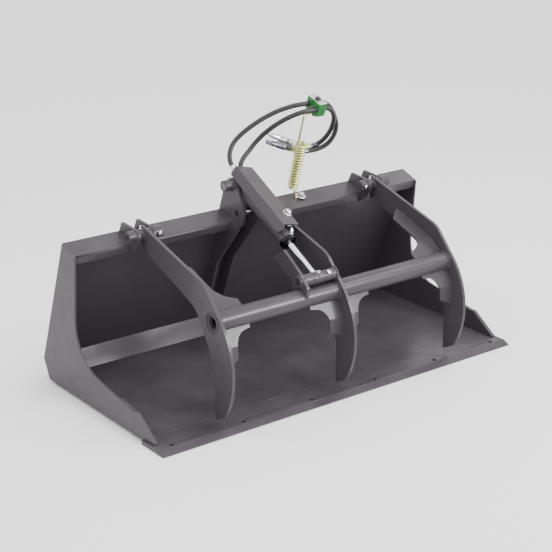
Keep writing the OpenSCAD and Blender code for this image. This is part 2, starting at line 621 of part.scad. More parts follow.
module rod_boss_left() rod_boss(cyl_x - rod_boss_reach, cyl_x - rod_boss_in, false);
module rod_boss_right() rod_boss(cyl_x + rod_boss_in, -tine_t / 2, true);
rod_keeper_x = cyl_x + rod_boss_in + rod_keeper_inset;
module rod_pin_outer() color(steel) at_hinge() difference() {
  union() {
    round_x(cyl_x - rod_boss_reach, cyl_x - rod_boss_in, pin_d, rod_at);
    round_x(cyl_x + rod_boss_in, -tine_t / 2, pin_d, rod_at);
  }
  keeper_hole(rod_keeper_x, rod_at, rod_turn);
}
module rod_keeper_bolt() color(zinc) at_hinge()
  keeper_bolt(rod_keeper_x, rod_at, boss_d, rod_turn);

// Cylinder, in axes through the base pin: z along the rod, y up out of the grapple
barrel_start = base_eye_d / 2 + 5;
module barrel_eye(d, w, bore) difference() {
  round_x(-w / 2, w / 2, d);
  round_x(-w / 2 - 1, w / 2 + 1, bore);
}
module cylinder_barrel() color(paint) on_cylinder() {
  barrel_eye(base_eye_d, base_eye_w, pin_bore);
  difference() {
    cylinder(d = base_eye_d, h = barrel_start + 1);
    round_x(-base_eye_d, base_eye_d, base_eye_d - 2);
  }
  translate([0, 0, barrel_start]) difference() {
    cylinder(d = barrel_d, h = barrel_end - barrel_start);
    translate([0, 0, 14]) cylinder(d = bore_d, h = barrel_end);
  }
}
gland_seat = 34;
module cylinder_gland() color(paint) on_cylinder() difference() {
  union() {
    translate([0, 0, barrel_end - gland_seat]) cylinder(d = bore_d, h = gland_seat);
    translate([0, 0, barrel_end]) cylinder(d = barrel_d + 2, h = gland_len - 6);
    translate([0, 0, barrel_end + gland_len - 6]) cylinder(d = barrel_d - 12, h = 6);
  }
  translate([0, 0, barrel_end - gland_seat - 1])
    cylinder(d = rod_d + 2 * pin_gap, h = gland_seat + gland_len + 2);
}

// Elbows turn the ports back along the barrel; each ends where its hose starts
port_r = 41;
elbow_r = 9;
base_port = 45;
rod_port = barrel_end - 17;
base_shank = 29.6;
rod_shank = 32.4;
base_port_turn = 17.5;
rod_port_turn = -49;
module elbow(lean, z, shank) rotate([0, 0, lean]) {
  translate([0, barrel_d / 2 - 1, z]) rotate([-90, 0, 0]) cylinder(r = 11, h = 6);
  translate([0, barrel_d / 2 + 4, z]) rotate([-90, 0, 0])
    cylinder(r = elbow_r, h = port_r - barrel_d / 2 - 4);
  translate([0, port_r, z]) sphere(r = elbow_r);
  translate([0, port_r, z - shank]) cylinder(r = elbow_r, h = shank);
}
module hose_elbows() color(zinc) on_cylinder() difference() {
  union() {
    elbow(base_port_turn, base_port, base_shank);
    elbow(rod_port_turn, rod_port, rod_shank);
  }
  translate([0, 0, barrel_start]) cylinder(d = barrel_d, h = barrel_end);
}

// Guard: a folded plate over the cylinder, bolted to a bracket on the barrel
guard_fold = [-17, 62];
guard_slope = 16;
guard_fold_slope = 50;
guard_z = -34;
guard_bolt_at = [70, 274];
module guard_axes() translate([guard_fold[0], guard_fold[1], guard_z]) children();
module plate_y(t) rotate([90, 0, 0]) linear_extrude(t) children();
module cylinder_guard() color(paint) on_cylinder() guard_axes() {
  rotate([0, 0, -guard_slope]) difference() {
    plate_y(guard_t) polygon(rounded([[0, 0], [guard_w, 0, 3], [guard_w, guard_len, 3],
      [0, guard_len]], 4));
    translate([guard_bolt_at[0], 0, guard_bolt_at[1]]) rotate([90, 0, 0])
      translate([0, 0, -1]) cylinder(d = post_bolt_d + 1, h = guard_t + 2);
  }
  mirror([1, 0, 0]) rotate([0, 0, -guard_fold_slope]) plate_y(guard_t)
    polygon(rounded([[0, 0], [guard_fold_w, 8, 12], [guard_fold_w, guard_len + 16, 20],
      [0, guard_len + 16, 12]], 6));
}
bracket_t = 6;
bracket_len = 60;
bracket_top = [guard_w - 2, guard_w - 2 - bracket_t];
function under_guard(k, drop) = guard_fold + [k * cos(guard_slope) - drop * sin(guard_slope),
  -k * sin(guard_slope) - drop * cos(guard_slope)];
module guard_bracket() color(paint) on_cylinder() difference() {
  translate([0, 0, guard_z + guard_bolt_at[1] - bracket_len / 2]) linear_extrude(bracket_len)
    polygon([[0, -bracket_t / 2], [under_guard(bracket_top[0], guard_t)[0], -bracket_t / 2],
      under_guard(bracket_top[0], guard_t), under_guard(guard_bolt_at[0] - 10, guard_t),
      under_guard(guard_bolt_at[0] - 10, guard_t + bracket_t),
      under_guard(bracket_top[1], guard_t + bracket_t),
      [under_guard(bracket_top[1], guard_t)[0], bracket_t / 2], [0, bracket_t / 2]]);
  translate([0, 0, barrel_start]) cylinder(d = barrel_d, h = barrel_end);
  guard_axes() rotate([0, 0, -guard_slope])
    translate([guard_bolt_at[0], 0, guard_bolt_at[1]]) rotate([90, 0, 0])
      cylinder(d = post_bolt_d + 0.4, h = 40);
}
module guard_bolt() color(zinc) on_cylinder() guard_axes() rotate([0, 0, -guard_slope])
  translate([guard_bolt_at[0], 0, guard_bolt_at[1]]) rotate([-90, 0, 0]) {
    cylinder(d = 32, h = post_washer_t);
    translate([0, 0, post_washer_t]) hex_z(1.5 * post_bolt_d, 0.65 * post_bolt_d);
    translate([0, 0, -guard_t - bracket_t - 2]) cylinder(d = post_bolt_d, h = guard_t + bracket_t + 3);
  }

// Rod and piston, drawn at full stretch with the grapple closed
piston_z = barrel_end - gland_seat - 40;
piston_len = 26;
nut_len = 14;
module piston_rod() color(steel) on_cylinder() difference() {
  union() {
    translate([0, 0, piston_z]) cylinder(d = rod_d, h = pin_to_pin - piston_z);
    translate([0, 0, piston_z - nut_len]) cylinder(d = 0.7 * rod_d, h = nut_len + 1);
    translate([0, 0, piston_z - nut_len + 3]) hex_z(1.3 * rod_d, nut_len - 3);
  }
  translate([0, 0, pin_to_pin]) round_x(-rod_eye_w, rod_eye_w, rod_eye_d);
}
module piston() color(steel) on_cylinder() translate([0, 0, piston_z]) difference() {
  cylinder(d = bore_d - 2 * pin_gap, h = piston_len);
  translate([0, 0, -1]) cylinder(d = rod_d, h = piston_len + 2);
  for (z = [6, 16]) translate([0, 0, z]) difference() {
    cylinder(d = bore_d + 1, h = 3);
    translate([0, 0, -1]) cylinder(d = bore_d - 5, h = 5);
  }
}
module rod_eye() color(paint) on_cylinder() translate([0, 0, pin_to_pin])
  barrel_eye(rod_eye_d, rod_eye_w, pin_bore);
module rod_pin_middle() color(steel) on_cylinder() translate([0, 0, pin_to_pin])
  round_x(-eye_half, eye_half, pin_d);

placed() cutting_edge();
placed() floor_plate();
placed() knee_plate();
placed() back_plate();
placed() side_plate_left();
placed() side_plate_right();
placed() side_cutter_left();
placed() side_cutter_right();
placed() wear_strips();
placed() top_tube();
placed() tower_plate_left();
placed() tower_plate_right();
placed() hinge_ear_left_outer();
placed() hinge_ear_left_inner();
placed() hinge_ear_right_inner();
placed() hinge_ear_right_outer();
placed() hinge_ear_centre();
placed() hinge_pin_left();
placed() hinge_pin_centre();
placed() hinge_pin_right();
placed() base_pin();
placed() pin_keeper_bolts();
placed() attach_hook_rail();
placed() attach_latch_rail();
placed() attach_end_plates();
placed() hose_spring();
placed() spring_bolt();
placed() hose_clamp_lower();
placed() hose_clamp_upper();
placed() clamp_cover();
placed() clamp_bolt();
placed() base_hose();
placed() rod_hose();
placed() coupler_front();
placed() coupler_rear();
placed() tine_left();
placed() tine_centre();
placed() tine_right();
placed() hub_left();
placed() hub_centre();
placed() hub_right();
placed() cross_tube();
placed() gussets_upper();
placed() gussets_lower();
placed() rod_lug();
placed() rod_boss_left();
placed() rod_boss_right();
placed() rod_pin_outer();
placed() rod_keeper_bolt();
placed() cylinder_barrel();
placed() cylinder_gland();
placed() hose_elbows();
placed() cylinder_guard();
placed() guard_bracket();
placed() guard_bolt();
placed() piston_rod();
placed() piston();
placed() rod_eye();
placed() rod_pin_middle();
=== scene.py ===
# %% [markdown]
# Grapple bucket in Blender
#
# The real object is a welded steel bucket for a skid steer loader. A grapple of three curved
# tines is hinged on its top tube, and one hydraulic cylinder closes it. The solids were drawn
# elsewhere and are loaded here as a frame that doesn't move. They could be modelled again, but
# then nothing would be sure to fit. So this script only adds what a plain solid lacks: paint,
# weld beads, a wound spring, hoses and bolts with chamfers.

# %% Load the frame
import json
import math

import bmesh
import bpy
import numpy as np
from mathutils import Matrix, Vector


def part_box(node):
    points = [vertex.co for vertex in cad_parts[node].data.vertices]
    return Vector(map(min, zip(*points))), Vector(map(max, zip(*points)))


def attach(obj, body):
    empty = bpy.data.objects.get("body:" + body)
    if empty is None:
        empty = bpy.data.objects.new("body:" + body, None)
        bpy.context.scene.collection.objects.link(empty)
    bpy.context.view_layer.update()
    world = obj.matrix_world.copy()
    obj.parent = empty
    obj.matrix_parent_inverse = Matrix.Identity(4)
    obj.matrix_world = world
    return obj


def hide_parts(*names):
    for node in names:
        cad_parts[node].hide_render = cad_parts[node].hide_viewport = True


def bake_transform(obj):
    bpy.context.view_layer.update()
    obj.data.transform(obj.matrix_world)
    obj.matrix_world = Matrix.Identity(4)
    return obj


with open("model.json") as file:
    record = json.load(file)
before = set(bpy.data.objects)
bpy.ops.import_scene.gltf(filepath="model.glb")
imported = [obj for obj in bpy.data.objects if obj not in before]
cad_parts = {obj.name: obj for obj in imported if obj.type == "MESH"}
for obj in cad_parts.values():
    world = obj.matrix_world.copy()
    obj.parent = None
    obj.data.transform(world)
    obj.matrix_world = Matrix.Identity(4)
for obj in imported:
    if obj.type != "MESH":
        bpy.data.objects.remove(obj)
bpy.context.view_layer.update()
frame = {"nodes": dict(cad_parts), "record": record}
nodes = frame["nodes"]

# %% [markdown]
# The sizes that carry the rest
#
# A weld or a bolt belongs to the plates that it joins. Its place could be measured on each
# solid, but a fitter works from the drawing, and a drawing has few sizes that count. They are
# named here once, in millimetres, and the beads and bolts below are placed from them.

# %% Driving sizes in millimetres
EDGE_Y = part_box("cutting_edge")[0][1]
KNEE = np.array([855.0, 89.0])
LEAN = math.radians(20.2)
BACK_LENGTH = 551.8
SHEET_T = 6.0
SIDE_T = 8.0
INNER_X = 838.0 - SIDE_T
TUBE_D = 88.0
TUBE_H = 40.0
TUBE_WALL = 5.0
TUBE_FRONT = -SHEET_T - TUBE_D
TINE_PITCH = 560.0
TINE_T = 12.7
HUB_LENGTH = 56.0
SIDE_GAP = 0.5
EAR_T = 9.5
EAR_IN = HUB_LENGTH / 2 + SIDE_GAP
EAR_OUT = EAR_IN + EAR_T
BOSS_D = 44.0
BOSS_LENGTH = 35.0
TOWER_IN = 32.0
TOWER_OUT = TOWER_IN + 12.0
CYLINDER_X = -91.0
HINGE_AT = np.array([TUBE_FRONT - 15.4, BACK_LENGTH + 52.1])
BASE_AT = np.array([-38.5, BACK_LENGTH + 140.0])
ROD_AT = np.array([-440.0, -147.5])
CROSS_AT = np.array([-444.0, -215.0])
print("edge tip at y =", round(EDGE_Y, 4), "m, clear width", 2 * INNER_X, "mm")

# %% [markdown]
# Four sets of axes
#
# A drawing of this bucket is read level on the ground, along the leaning back, from the
# grapple's hinge and along the cylinder. Parented empties could carry those axes, but each
# finished piece has to lie at the origin with its place in its mesh. So a function for each
# turns its millimetres into metres in the frame, and a bolt keeps a fitter's numbers.


# %% From a drawing's millimetres to the frame's metres
def on_ground(points):
    """Metres from millimetres: x right, y back from the tip of the edge, z up from the ground."""
    return np.asarray(points, float) / 1000 + np.array([0, EDGE_Y, 0])


def leaned(points, angle, corner, x0=0.0):
    """A turn about X by an angle, y' = y cos a - z sin a and z' = y sin a + z cos a, then a shift."""
    x, y, z = np.moveaxis(np.asarray(points, float), -1, 0)
    c, s = math.cos(angle), math.sin(angle)
    return np.stack([x + x0, corner[0] + y * c - z * s, corner[1] + y * s + z * c], -1)


HINGE = leaned([0, *HINGE_AT], LEAN, KNEE)[1:]
BASE_PIN = leaned([0, *BASE_AT], LEAN, KNEE)[1:]
PIN_LINE = HINGE + ROD_AT - BASE_PIN
CYLINDER_TURN = math.atan2(-PIN_LINE[0], PIN_LINE[1])


def on_back(points):
    """Millimetres along the back sheet: x right, y out of its rear face, z up its slope."""
    return on_ground(leaned(points, LEAN, KNEE))


def on_cylinder(points):
    """Millimetres along the cylinder: z from the base pin to the rod, y out of the grapple."""
    return on_ground(leaned(points, CYLINDER_TURN, BASE_PIN, CYLINDER_X))


def at_hinge(points):
    """Millimetres from the grapple's hinge line, level."""
    return on_ground(np.asarray(points, float) + np.array([0, *HINGE]))


print("hinge at", np.round(at_hinge([0, 0, 0]), 4), "pins", round(math.hypot(*PIN_LINE), 1), "mm apart")

# %% [markdown]
# The camera
#
# A catalogue picture is taken from far off with a long lens, so that a wide bucket keeps its
# proportions. The camera could be placed by eye. Its place, turn and lens were worked out by
# least squares from the bucket's corners in the picture instead, because even a small error
# in the lens changes the bucket's proportions.

# %% Camera
CAMERA_AT = (-3.3093, -4.3102, 2.3058)
CAMERA_TILT = math.radians(70.3)
CAMERA_TURN = math.radians(-37.35)
CAMERA_LENS = 95.74
SENSOR_WIDTH = 36.0
camera_data = bpy.data.cameras.new("camera")
camera_data.lens = CAMERA_LENS
camera_data.sensor_width = SENSOR_WIDTH
camera = bpy.data.objects.new("camera", camera_data)
camera.location = CAMERA_AT
camera.rotation_euler = (CAMERA_TILT, 0.0, CAMERA_TURN)
bpy.context.scene.collection.objects.link(camera)
bpy.context.scene.camera = camera
print("camera is", round(camera.location.length, 2), "m from the origin")

# %% [markdown]
# Surfaces from grids
#
# Turned, bent and swept parts could start as primitives and be cut by hand. Here each is a
# grid of points: one way along it, one way round it. A grid keeps the sums short, because
# whole arrays are worked out at once, and it makes clean four-sided faces that shade smoothly.
# Caps at the ends close it, so that it is a real solid.


# %% Grid to mesh
def grid_faces(rows, columns, first=0, closed_rows=False):
    """Quads (i, j), (i, j+1), (i+1, j+1), (i+1, j), with the columns closed into a ring."""
    i = np.arange(rows if closed_rows else rows - 1)[:, None]
    j = np.arange(columns)[None, :]
    i2, j2 = (i + 1) % rows, (j + 1) % columns
    quads = np.stack(np.broadcast_arrays(i * columns + j, i * columns + j2,
                                         i2 * columns + j2, i2 * columns + j), -1)
    return quads.reshape(-1, 4) + first


def point_outwards(mesh):
    """Recalculates the normals of closed shells, so that every face looks out."""
    shell = bmesh.new()
    shell.from_mesh(mesh)
    bmesh.ops.recalc_face_normals(shell, faces=shell.faces)
    shell.to_mesh(mesh)
    shell.free()


def solid(name, rings, body, material, stands_for=None, hollow=False):
    """One mesh from tubes, each a grid (rings, points round it, 3), capped or closed on itself."""
    points, faces, first = [], [], 0
    for ring in rings:
        rows, columns = ring.shape[:2]
        points.append(ring.reshape(-1, 3))
        faces += grid_faces(rows, columns, first, hollow).tolist()
        if not hollow:
            faces.append([first + k for k in range(columns - 1, -1, -1)])
            faces.append([first + (rows - 1) * columns + k for k in range(columns)])
        first += rows * columns
    mesh = bpy.data.meshes.new(name)
    mesh.from_pydata(np.concatenate(points).tolist(), [], faces)
    point_outwards(mesh)
    mesh.polygons.foreach_set("use_smooth", [True] * len(mesh.polygons))
    mesh.materials.append(material)
    thing = bpy.data.objects.new(name, mesh)
    bpy.context.scene.collection.objects.link(thing)
    if body:
        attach(thing, body)
    if stands_for:
        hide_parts(stands_for)
    print(name, "has", len(mesh.polygons), "faces")
    return thing


# %% Sweep, lathe and place
def sweep(path, radius, sides=16, up=(0.0, 0.8, -0.6)):
    """Rings round a path: p + r (u cos a + v sin a), u square to the path and to up, v = path x u."""
    path = np.asarray(path, float)
    along = np.gradient(path, axis=0)
    along /= np.linalg.norm(along, axis=1, keepdims=True)
    u = np.cross(np.asarray(up, float), along)
    u /= np.linalg.norm(u, axis=1, keepdims=True)
    v = np.cross(along, u)
    a = np.linspace(0, 2 * np.pi, sides, endpoint=False)
    radius = np.broadcast_to(np.asarray(radius, float), (len(path),))[:, None, None]
    spokes = np.cos(a)[None, :, None] * u[:, None] + np.sin(a)[None, :, None] * v[:, None]
    return path[:, None] + radius * spokes


def turned(profile, sides=40, shape=None):
    """A lathe profile of (z, r) pairs, round z; shape(angle, z, r) may change each radius."""
    z, r = np.asarray(profile, float).T
    a = np.linspace(0, 2 * np.pi, sides, endpoint=False)[None, :]
    r = np.broadcast_to(r[:, None], (len(z), sides))
    z = np.broadcast_to(z[:, None], r.shape)
    r = r if shape is None else shape(a, z, r)
    return np.stack([r * np.cos(a), r * np.sin(a), z], -1)


def pointed(rings, place, direction):
    """Turns local z to a direction and moves the origin to a place, all in the same axes."""
    z = np.asarray(direction, float)
    z = z / np.linalg.norm(z)
    x = np.cross((0.0, 0.0, 1.0) if abs(z[2]) < 0.9 else (1.0, 0.0, 0.0), z)
    x /= np.linalg.norm(x)
    y = np.cross(z, x)
    return rings @ np.stack([x, y, z]) + np.asarray(place, float)


# %% Along a path
def distances(path):
    """How far along a path each of its points lies: the running sum of its steps."""
    return np.concatenate([[0], np.cumsum(np.linalg.norm(np.diff(path, axis=0), axis=1))])


def point_at(path, s):
    """The point, or points, at a distance s along a path, between its own points by proportion."""
    reach = distances(path)
    return np.stack([np.interp(s, reach, path[:, k]) for k in range(3)], -1)


def eased(points, passes):
    """Rounds the corners of a path by 1-2-1 means, with its ends kept."""
    points = points.copy()
    for _ in range(passes):
        points[1:-1] = (points[:-2] + 2 * points[1:-1] + points[2:]) / 4
    return points


def straight(a, b, step=2.0):
    """Points from a to b at an even step."""
    count = max(2, int(np.linalg.norm(np.subtract(b, a)) / step))
    return np.linspace(a, b, count)


# %% [markdown]
# Paint
#
# The bucket is shot blasted and powder coated, which gives one warm dark grey with a soft
# gloss. One flat colour would look like plastic: up close such a coat has a faint orange peel,
# a little dust on what faces up and patches that shine less. Those are noise patterns here, on
# the object's own coordinates, so that they stay on the metal when the grapple moves.


# %% Node helpers
def new_material(name):
    """A material with its Principled shader and a helper that adds linked nodes to it."""
    material = bpy.data.materials.new(name)
    material.use_nodes = True
    tree = material.node_tree
    shader = tree.nodes["Principled BSDF"]

    def add(kind, inputs=(), **settings):
        node = tree.nodes.new(kind)
        for key, value in settings.items():
            setattr(node, key, value)
        for key, value in dict(inputs).items():
            if isinstance(value, bpy.types.NodeSocket):
                tree.links.new(value, node.inputs[key])
            else:
                node.inputs[key].default_value = value
        return node

    def plug(value, key):
        tree.links.new(value, shader.inputs[key])

    return material, shader, add, plug


def ramp(add, value, stops):
    """A colour ramp on a value, from (place, colour or grey) stops."""
    node = add("ShaderNodeValToRGB", {"Fac": value})
    cells = node.color_ramp.elements
    while len(cells) < len(stops):
        cells.new(0.5)
    for cell, (place, colour) in zip(cells, stops):
        cell.position = place
        grey = isinstance(colour, float)
        cell.color = (colour, colour, colour, 1.0) if grey else (*colour, 1.0)
    return node.outputs["Color"]


def noise(add, where, scale, detail, rough=0.5):
    """Noise of so many waves a metre, with finer octaves on top."""
    return add("ShaderNodeTexNoise", {"Vector": where, "Scale": scale, "Detail": detail,
                                      "Roughness": rough}).outputs["Fac"]


# A Mix node has its two colours in inputs 6 and 7, and what they give in output 2
MIX_FROM, MIX_TO, MIXED = 6, 7, 2


def mix(add, amount, colour, other):
    """A colour turned towards another one by an amount from 0 to 1."""
    return add("ShaderNodeMix", {"Factor": amount, MIX_FROM: colour, MIX_TO: (*other, 1.0)},
               data_type="RGBA").outputs[MIXED]


def bump(add, plug, height, strength, distance):
    """Tilts the shading by a height that stands out by a distance in metres."""
    tilted = add("ShaderNodeBump", {"Height": height, "Strength": strength, "Distance": distance})
    plug(tilted.outputs["Normal"], "Normal")


# %% Painted plate
def make_paint(name, colour, dusty, gloss):
    """Powder coat: slow noise moves colour and gloss, fine noise is the bump of the orange peel.

    Dust settles by the upward part of the normal times the slow noise, and in a few specks.
    """
    material, shader, add, plug = new_material(name)
    where = add("ShaderNodeTexCoord").outputs["Object"]
    drift = noise(add, where, scale=5.0, detail=6.0, rough=0.6)
    specks = noise(add, where, scale=220.0, detail=3.0, rough=0.7)
    tone = ramp(add, drift, [(0.3, tuple(c * 0.9 for c in colour)), (0.7, colour)])
    facing = add("ShaderNodeSeparateXYZ",
                 {"Vector": add("ShaderNodeNewGeometry").outputs["Normal"]}).outputs["Z"]
    settled = add("ShaderNodeMath", {0: facing, 1: drift}, operation="MULTIPLY").outputs[0]
    amount = ramp(add, settled, [(0.35, 0.0), (0.75, 0.35)])
    dusted = mix(add, amount, tone, dusty)
    sprinkled = ramp(add, specks, [(0.62, 0.0), (0.72, 0.12)])
    plug(mix(add, sprinkled, dusted, dusty), "Base Color")
    patches = noise(add, where, scale=18.0, detail=5.0)
    plug(ramp(add, patches, [(0.3, gloss - 0.05), (0.7, gloss + 0.07)]), "Roughness")
    peel = noise(add, where, scale=210.0, detail=2.0)
    bump(add, plug, peel, strength=0.25, distance=0.0005)
    shader.inputs["Specular IOR Level"].default_value = 0.18
    shader.inputs["Coat Weight"].default_value = 0.13
    shader.inputs["Coat Roughness"].default_value = 0.16
    return material


paint = make_paint("paint", (0.056, 0.0485, 0.0565), (0.108, 0.100, 0.109), 0.38)
print("paint nodes:", len(paint.node_tree.nodes))

# %% [markdown]
# Plated and bare metal
#
# Fasteners are zinc plated, the spring has a yellow passivated plate, the couplers are darker
# zinc nickel, pins are turned bare steel and the rod is hard chrome. Each could have a material
# of its own, but they differ only in colour, in how sharp the reflection is and in how cloudy
# the plate has become. So one function makes them all.


# %% Metals
def make_metal(name, colour, tarnish, gloss, grain=300.0, depth=0.15):
    """Metal whose colour clouds towards a tarnish, with a fine grain in its bump and gloss."""
    material, shader, add, plug = new_material(name)
    where = add("ShaderNodeTexCoord").outputs["Object"]
    cloud = noise(add, where, scale=70.0, detail=6.0, rough=0.65)
    plug(ramp(add, cloud, [(0.38, tarnish), (0.62, colour)]), "Base Color")
    plug(ramp(add, cloud, [(0.3, gloss + 0.1), (0.7, gloss)]), "Roughness")
    bump(add, plug, noise(add, where, grain, detail=3.0), depth, distance=0.0003)
    shader.inputs["Metallic"].default_value = 1.0
    return material


bright_zinc = make_metal("bright_zinc", (0.80, 0.81, 0.80), (0.50, 0.51, 0.50), 0.20)
yellow_zinc = make_metal("yellow_zinc", (0.76, 0.77, 0.38), (0.48, 0.48, 0.19), 0.28)
brass_zinc = make_metal("brass_zinc", (0.62, 0.60, 0.30), (0.40, 0.38, 0.18), 0.30)
coupler_steel = make_metal("coupler_steel", (0.20, 0.22, 0.26), (0.11, 0.12, 0.14), 0.24)
pin_steel = make_metal("pin_steel", (0.17, 0.165, 0.17), (0.10, 0.10, 0.10), 0.32, 500.0)
chrome = make_metal("chrome", (0.90, 0.91, 0.93), (0.84, 0.85, 0.87), 0.15, 900.0, 0.02)
dark_steel = make_metal("dark_steel", (0.10, 0.10, 0.10), (0.05, 0.05, 0.05), 0.42)
gland_black = make_metal("gland_black", (0.030, 0.030, 0.033), (0.015, 0.015, 0.016), 0.14)
print("zinc, steel and chrome:", [m.name for m in (bright_zinc, yellow_zinc, brass_zinc, coupler_steel,
                                                  pin_steel, chrome, dark_steel, gland_black)])

# %% [markdown]
# Rubber and moulded plastic
#
# A hydraulic hose has a wrapped cover: tape wound round it while it cures leaves a fine print
# across it. A pattern on the object's coordinates would cut through the bends, so the print
# reads a map that runs along the hose. The clamp is moulded in green plastic, with a fine
# texture from its mould.


# %% Hose cover and clamp plastic
def make_hose_cover():
    """Dark rubber: a wave along the hose is the print of the tape, and fine noise is its cloth."""
    material, shader, add, plug = new_material("hose_cover")
    along = add("ShaderNodeUVMap", uv_map="hose").outputs["UV"]
    wound = add("ShaderNodeMapping", {"Vector": along, "Rotation": (0.0, 0.0, 0.06)})
    tape = add("ShaderNodeTexWave", {"Vector": wound.outputs["Vector"], "Scale": 40.0,
                                     "Distortion": 0.6, "Detail": 1.0},
               wave_type="BANDS", bands_direction="X").outputs["Fac"]
    where = add("ShaderNodeTexCoord").outputs["Object"]
    cloth = noise(add, where, scale=900.0, detail=2.0)
    both = add("ShaderNodeMath", {0: tape, 1: cloth}, operation="ADD").outputs[0]
    bump(add, plug, both, strength=0.35, distance=0.0006)
    plug(ramp(add, tape, [(0.0, (0.020, 0.019, 0.020)), (1.0, (0.036, 0.034, 0.036))]), "Base Color")
    shader.inputs["Roughness"].default_value = 0.46
    shader.inputs["Specular IOR Level"].default_value = 0.3
    return material


def make_clamp_plastic():
    """Green plastic: colour and gloss drift slowly, and fine noise is the texture of its mould."""
    material, shader, add, plug = new_material("clamp_green")
    where = add("ShaderNodeTexCoord").outputs["Object"]
    flow = noise(add, where, scale=30.0, detail=4.0)
    plug(ramp(add, flow, [(0.35, (0.0005, 0.115, 0.010)), (0.65, (0.001, 0.16, 0.018))]), "Base Color")
    plug(ramp(add, flow, [(0.3, 0.28), (0.7, 0.4)]), "Roughness")
    grain = noise(add, where, scale=900.0, detail=2.0)
    bump(add, plug, grain, strength=0.12, distance=0.0003)
    shader.inputs["Specular IOR Level"].default_value = 0.3
    return material


hose_cover = make_hose_cover()
clamp_green = make_clamp_plastic()
print("hose and clamp:", [m.name for m in (hose_cover, clamp_green)])

# %% [markdown]
# The hoses
#
# Two hoses leave the cylinder's elbows, bend up behind the base pin, run together through the
# clamp and loop down to their couplers. Each has one fixed length. A curve object with a round
# bevel would do, but the print needs a map that counts metres along the hose, and a swept tube
# can have one. The route's points are those of the solids, eased a little, because a hose has
# no corners.

# %% Hose routes
HOSE_D = 0.019
HOSE_SIDES = 24
BASE_ROUTE = [
    [-103, 549, 751], [-103, 571, 763], [-104, 594, 775], [-104, 613, 787], [-102, 630, 803],
    [-95, 643, 824], [-82, 650, 849], [-63, 650, 874], [-39, 640, 899], [-2, 622, 930],
    [43, 600, 960], [91, 575, 985], [139, 551, 1001], [175, 534, 1007], [206, 527, 1008],
    [244, 527, 1008], [272, 527, 1004], [298, 528, 992], [320, 530, 972], [337, 534, 947],
    [353, 541, 920], [365, 549, 895], [369, 559, 866], [362, 571, 834], [344, 584, 809],
    [319, 597, 795], [292, 609, 788], [264, 616, 788], [236, 620, 794]]
ROD_ROUTE = [
    [-60, 316, 614], [-60, 380, 648], [-60, 450, 686], [-60, 514, 722], [-67, 538, 740],
    [-76, 563, 757], [-76, 587, 768], [-70, 606, 779], [-54, 622, 793], [-31, 632, 810],
    [-5, 636, 828], [22, 632, 857], [48, 610, 893], [74, 570, 932], [105, 528, 965],
    [142, 496, 986], [176, 484, 992], [206, 483, 992], [244, 483, 992], [267, 484, 988],
    [287, 488, 977], [304, 496, 960], [318, 508, 936], [328, 527, 908], [334, 548, 878],
    [335, 575, 847], [331, 600, 822], [319, 620, 805], [300, 633, 797], [276, 638, 798],
    [251, 640, 806]]


def smooth_route(route, step=4.0):
    """A cubic through the points (Catmull and Rom), sampled evenly, then eased by 1-2-1 means."""
    p = np.asarray(route, float)
    p = np.vstack([2 * p[0] - p[1], p, 2 * p[-1] - p[-2]])
    t = np.linspace(0, 1, 24, endpoint=False)[None, :, None]
    a, b, c, d = (p[k:len(p) - 3 + k, None] for k in range(4))
    curve = 0.5 * (2 * b + (c - a) * t + (2 * a - 5 * b + 4 * c - d) * t ** 2
                   + (3 * b - a - 3 * c + d) * t ** 3)
    curve = np.vstack([curve.reshape(-1, 3), p[-2]])
    whole = distances(curve)[-1]
    return eased(point_at(curve, np.linspace(0, whole, int(whole / step) + 1)), 12)


def add_hose_uv(thing, path, sides):
    """A map whose x is metres along the hose and y goes once round it."""
    layer = thing.data.uv_layers.new(name="hose")
    corner = np.zeros(len(thing.data.loops), np.int32)
    thing.data.loops.foreach_get("vertex_index", corner)
    uv = np.stack([distances(path)[corner // sides], (corner % sides) / sides], 1)
    layer.data.foreach_set("uv", uv.ravel())


hose_paths = {}
for name, route in (("base_hose", BASE_ROUTE), ("rod_hose", ROD_ROUTE)):
    path = on_ground(smooth_route(route))
    hose_paths[name] = path
    skin = solid(name + "_cover", [sweep(path, HOSE_D / 2, HOSE_SIDES)], None, hose_cover)
    add_hose_uv(skin, path, HOSE_SIDES)
    print(name, "is", round(distances(path)[-1], 3), "m long")

# %% [markdown]
# Quick couplers
#
# The free hose ends carry quick couplers: a hexagon to hold a spanner, a body, a sleeve with
# rings for grip, and a nose. Booleans could cut the hexagon, but they leave long thin faces.
# These are turned parts, so a profile spun round its axis makes them, and the flats come from
# limiting the radius by the angle.


# %% Turned couplers
def flats(count, span, across):
    """Cuts flats: the radius is at most half the width across flats over the cosine of the sector."""
    def shape(a, z, r):
        sector = (a + np.pi / count) % (2 * np.pi / count) - np.pi / count
        cut = across / 2 / np.cos(sector)
        return np.where((z >= span[0]) & (z <= span[1]), np.minimum(r, cut), r)
    return shape


def hexagon(across, height, at=0.0):
    """A hexagon whose corners are turned off at 30 degrees at both faces."""
    corner = across / 2 / math.cos(math.pi / 6)
    c = 0.12 * across * math.tan(math.pi / 6)
    z = np.array([0, 0.001, c, c + 0.01, height - c - 0.01, height - c, height - 0.001, height])
    r = np.array([0.2, across / 2 - 0.3, corner, corner, corner, corner, across / 2 - 0.3, 0.2])
    return turned(np.stack([z + at, r], 1), 72, flats(6, (at, at + height), across))


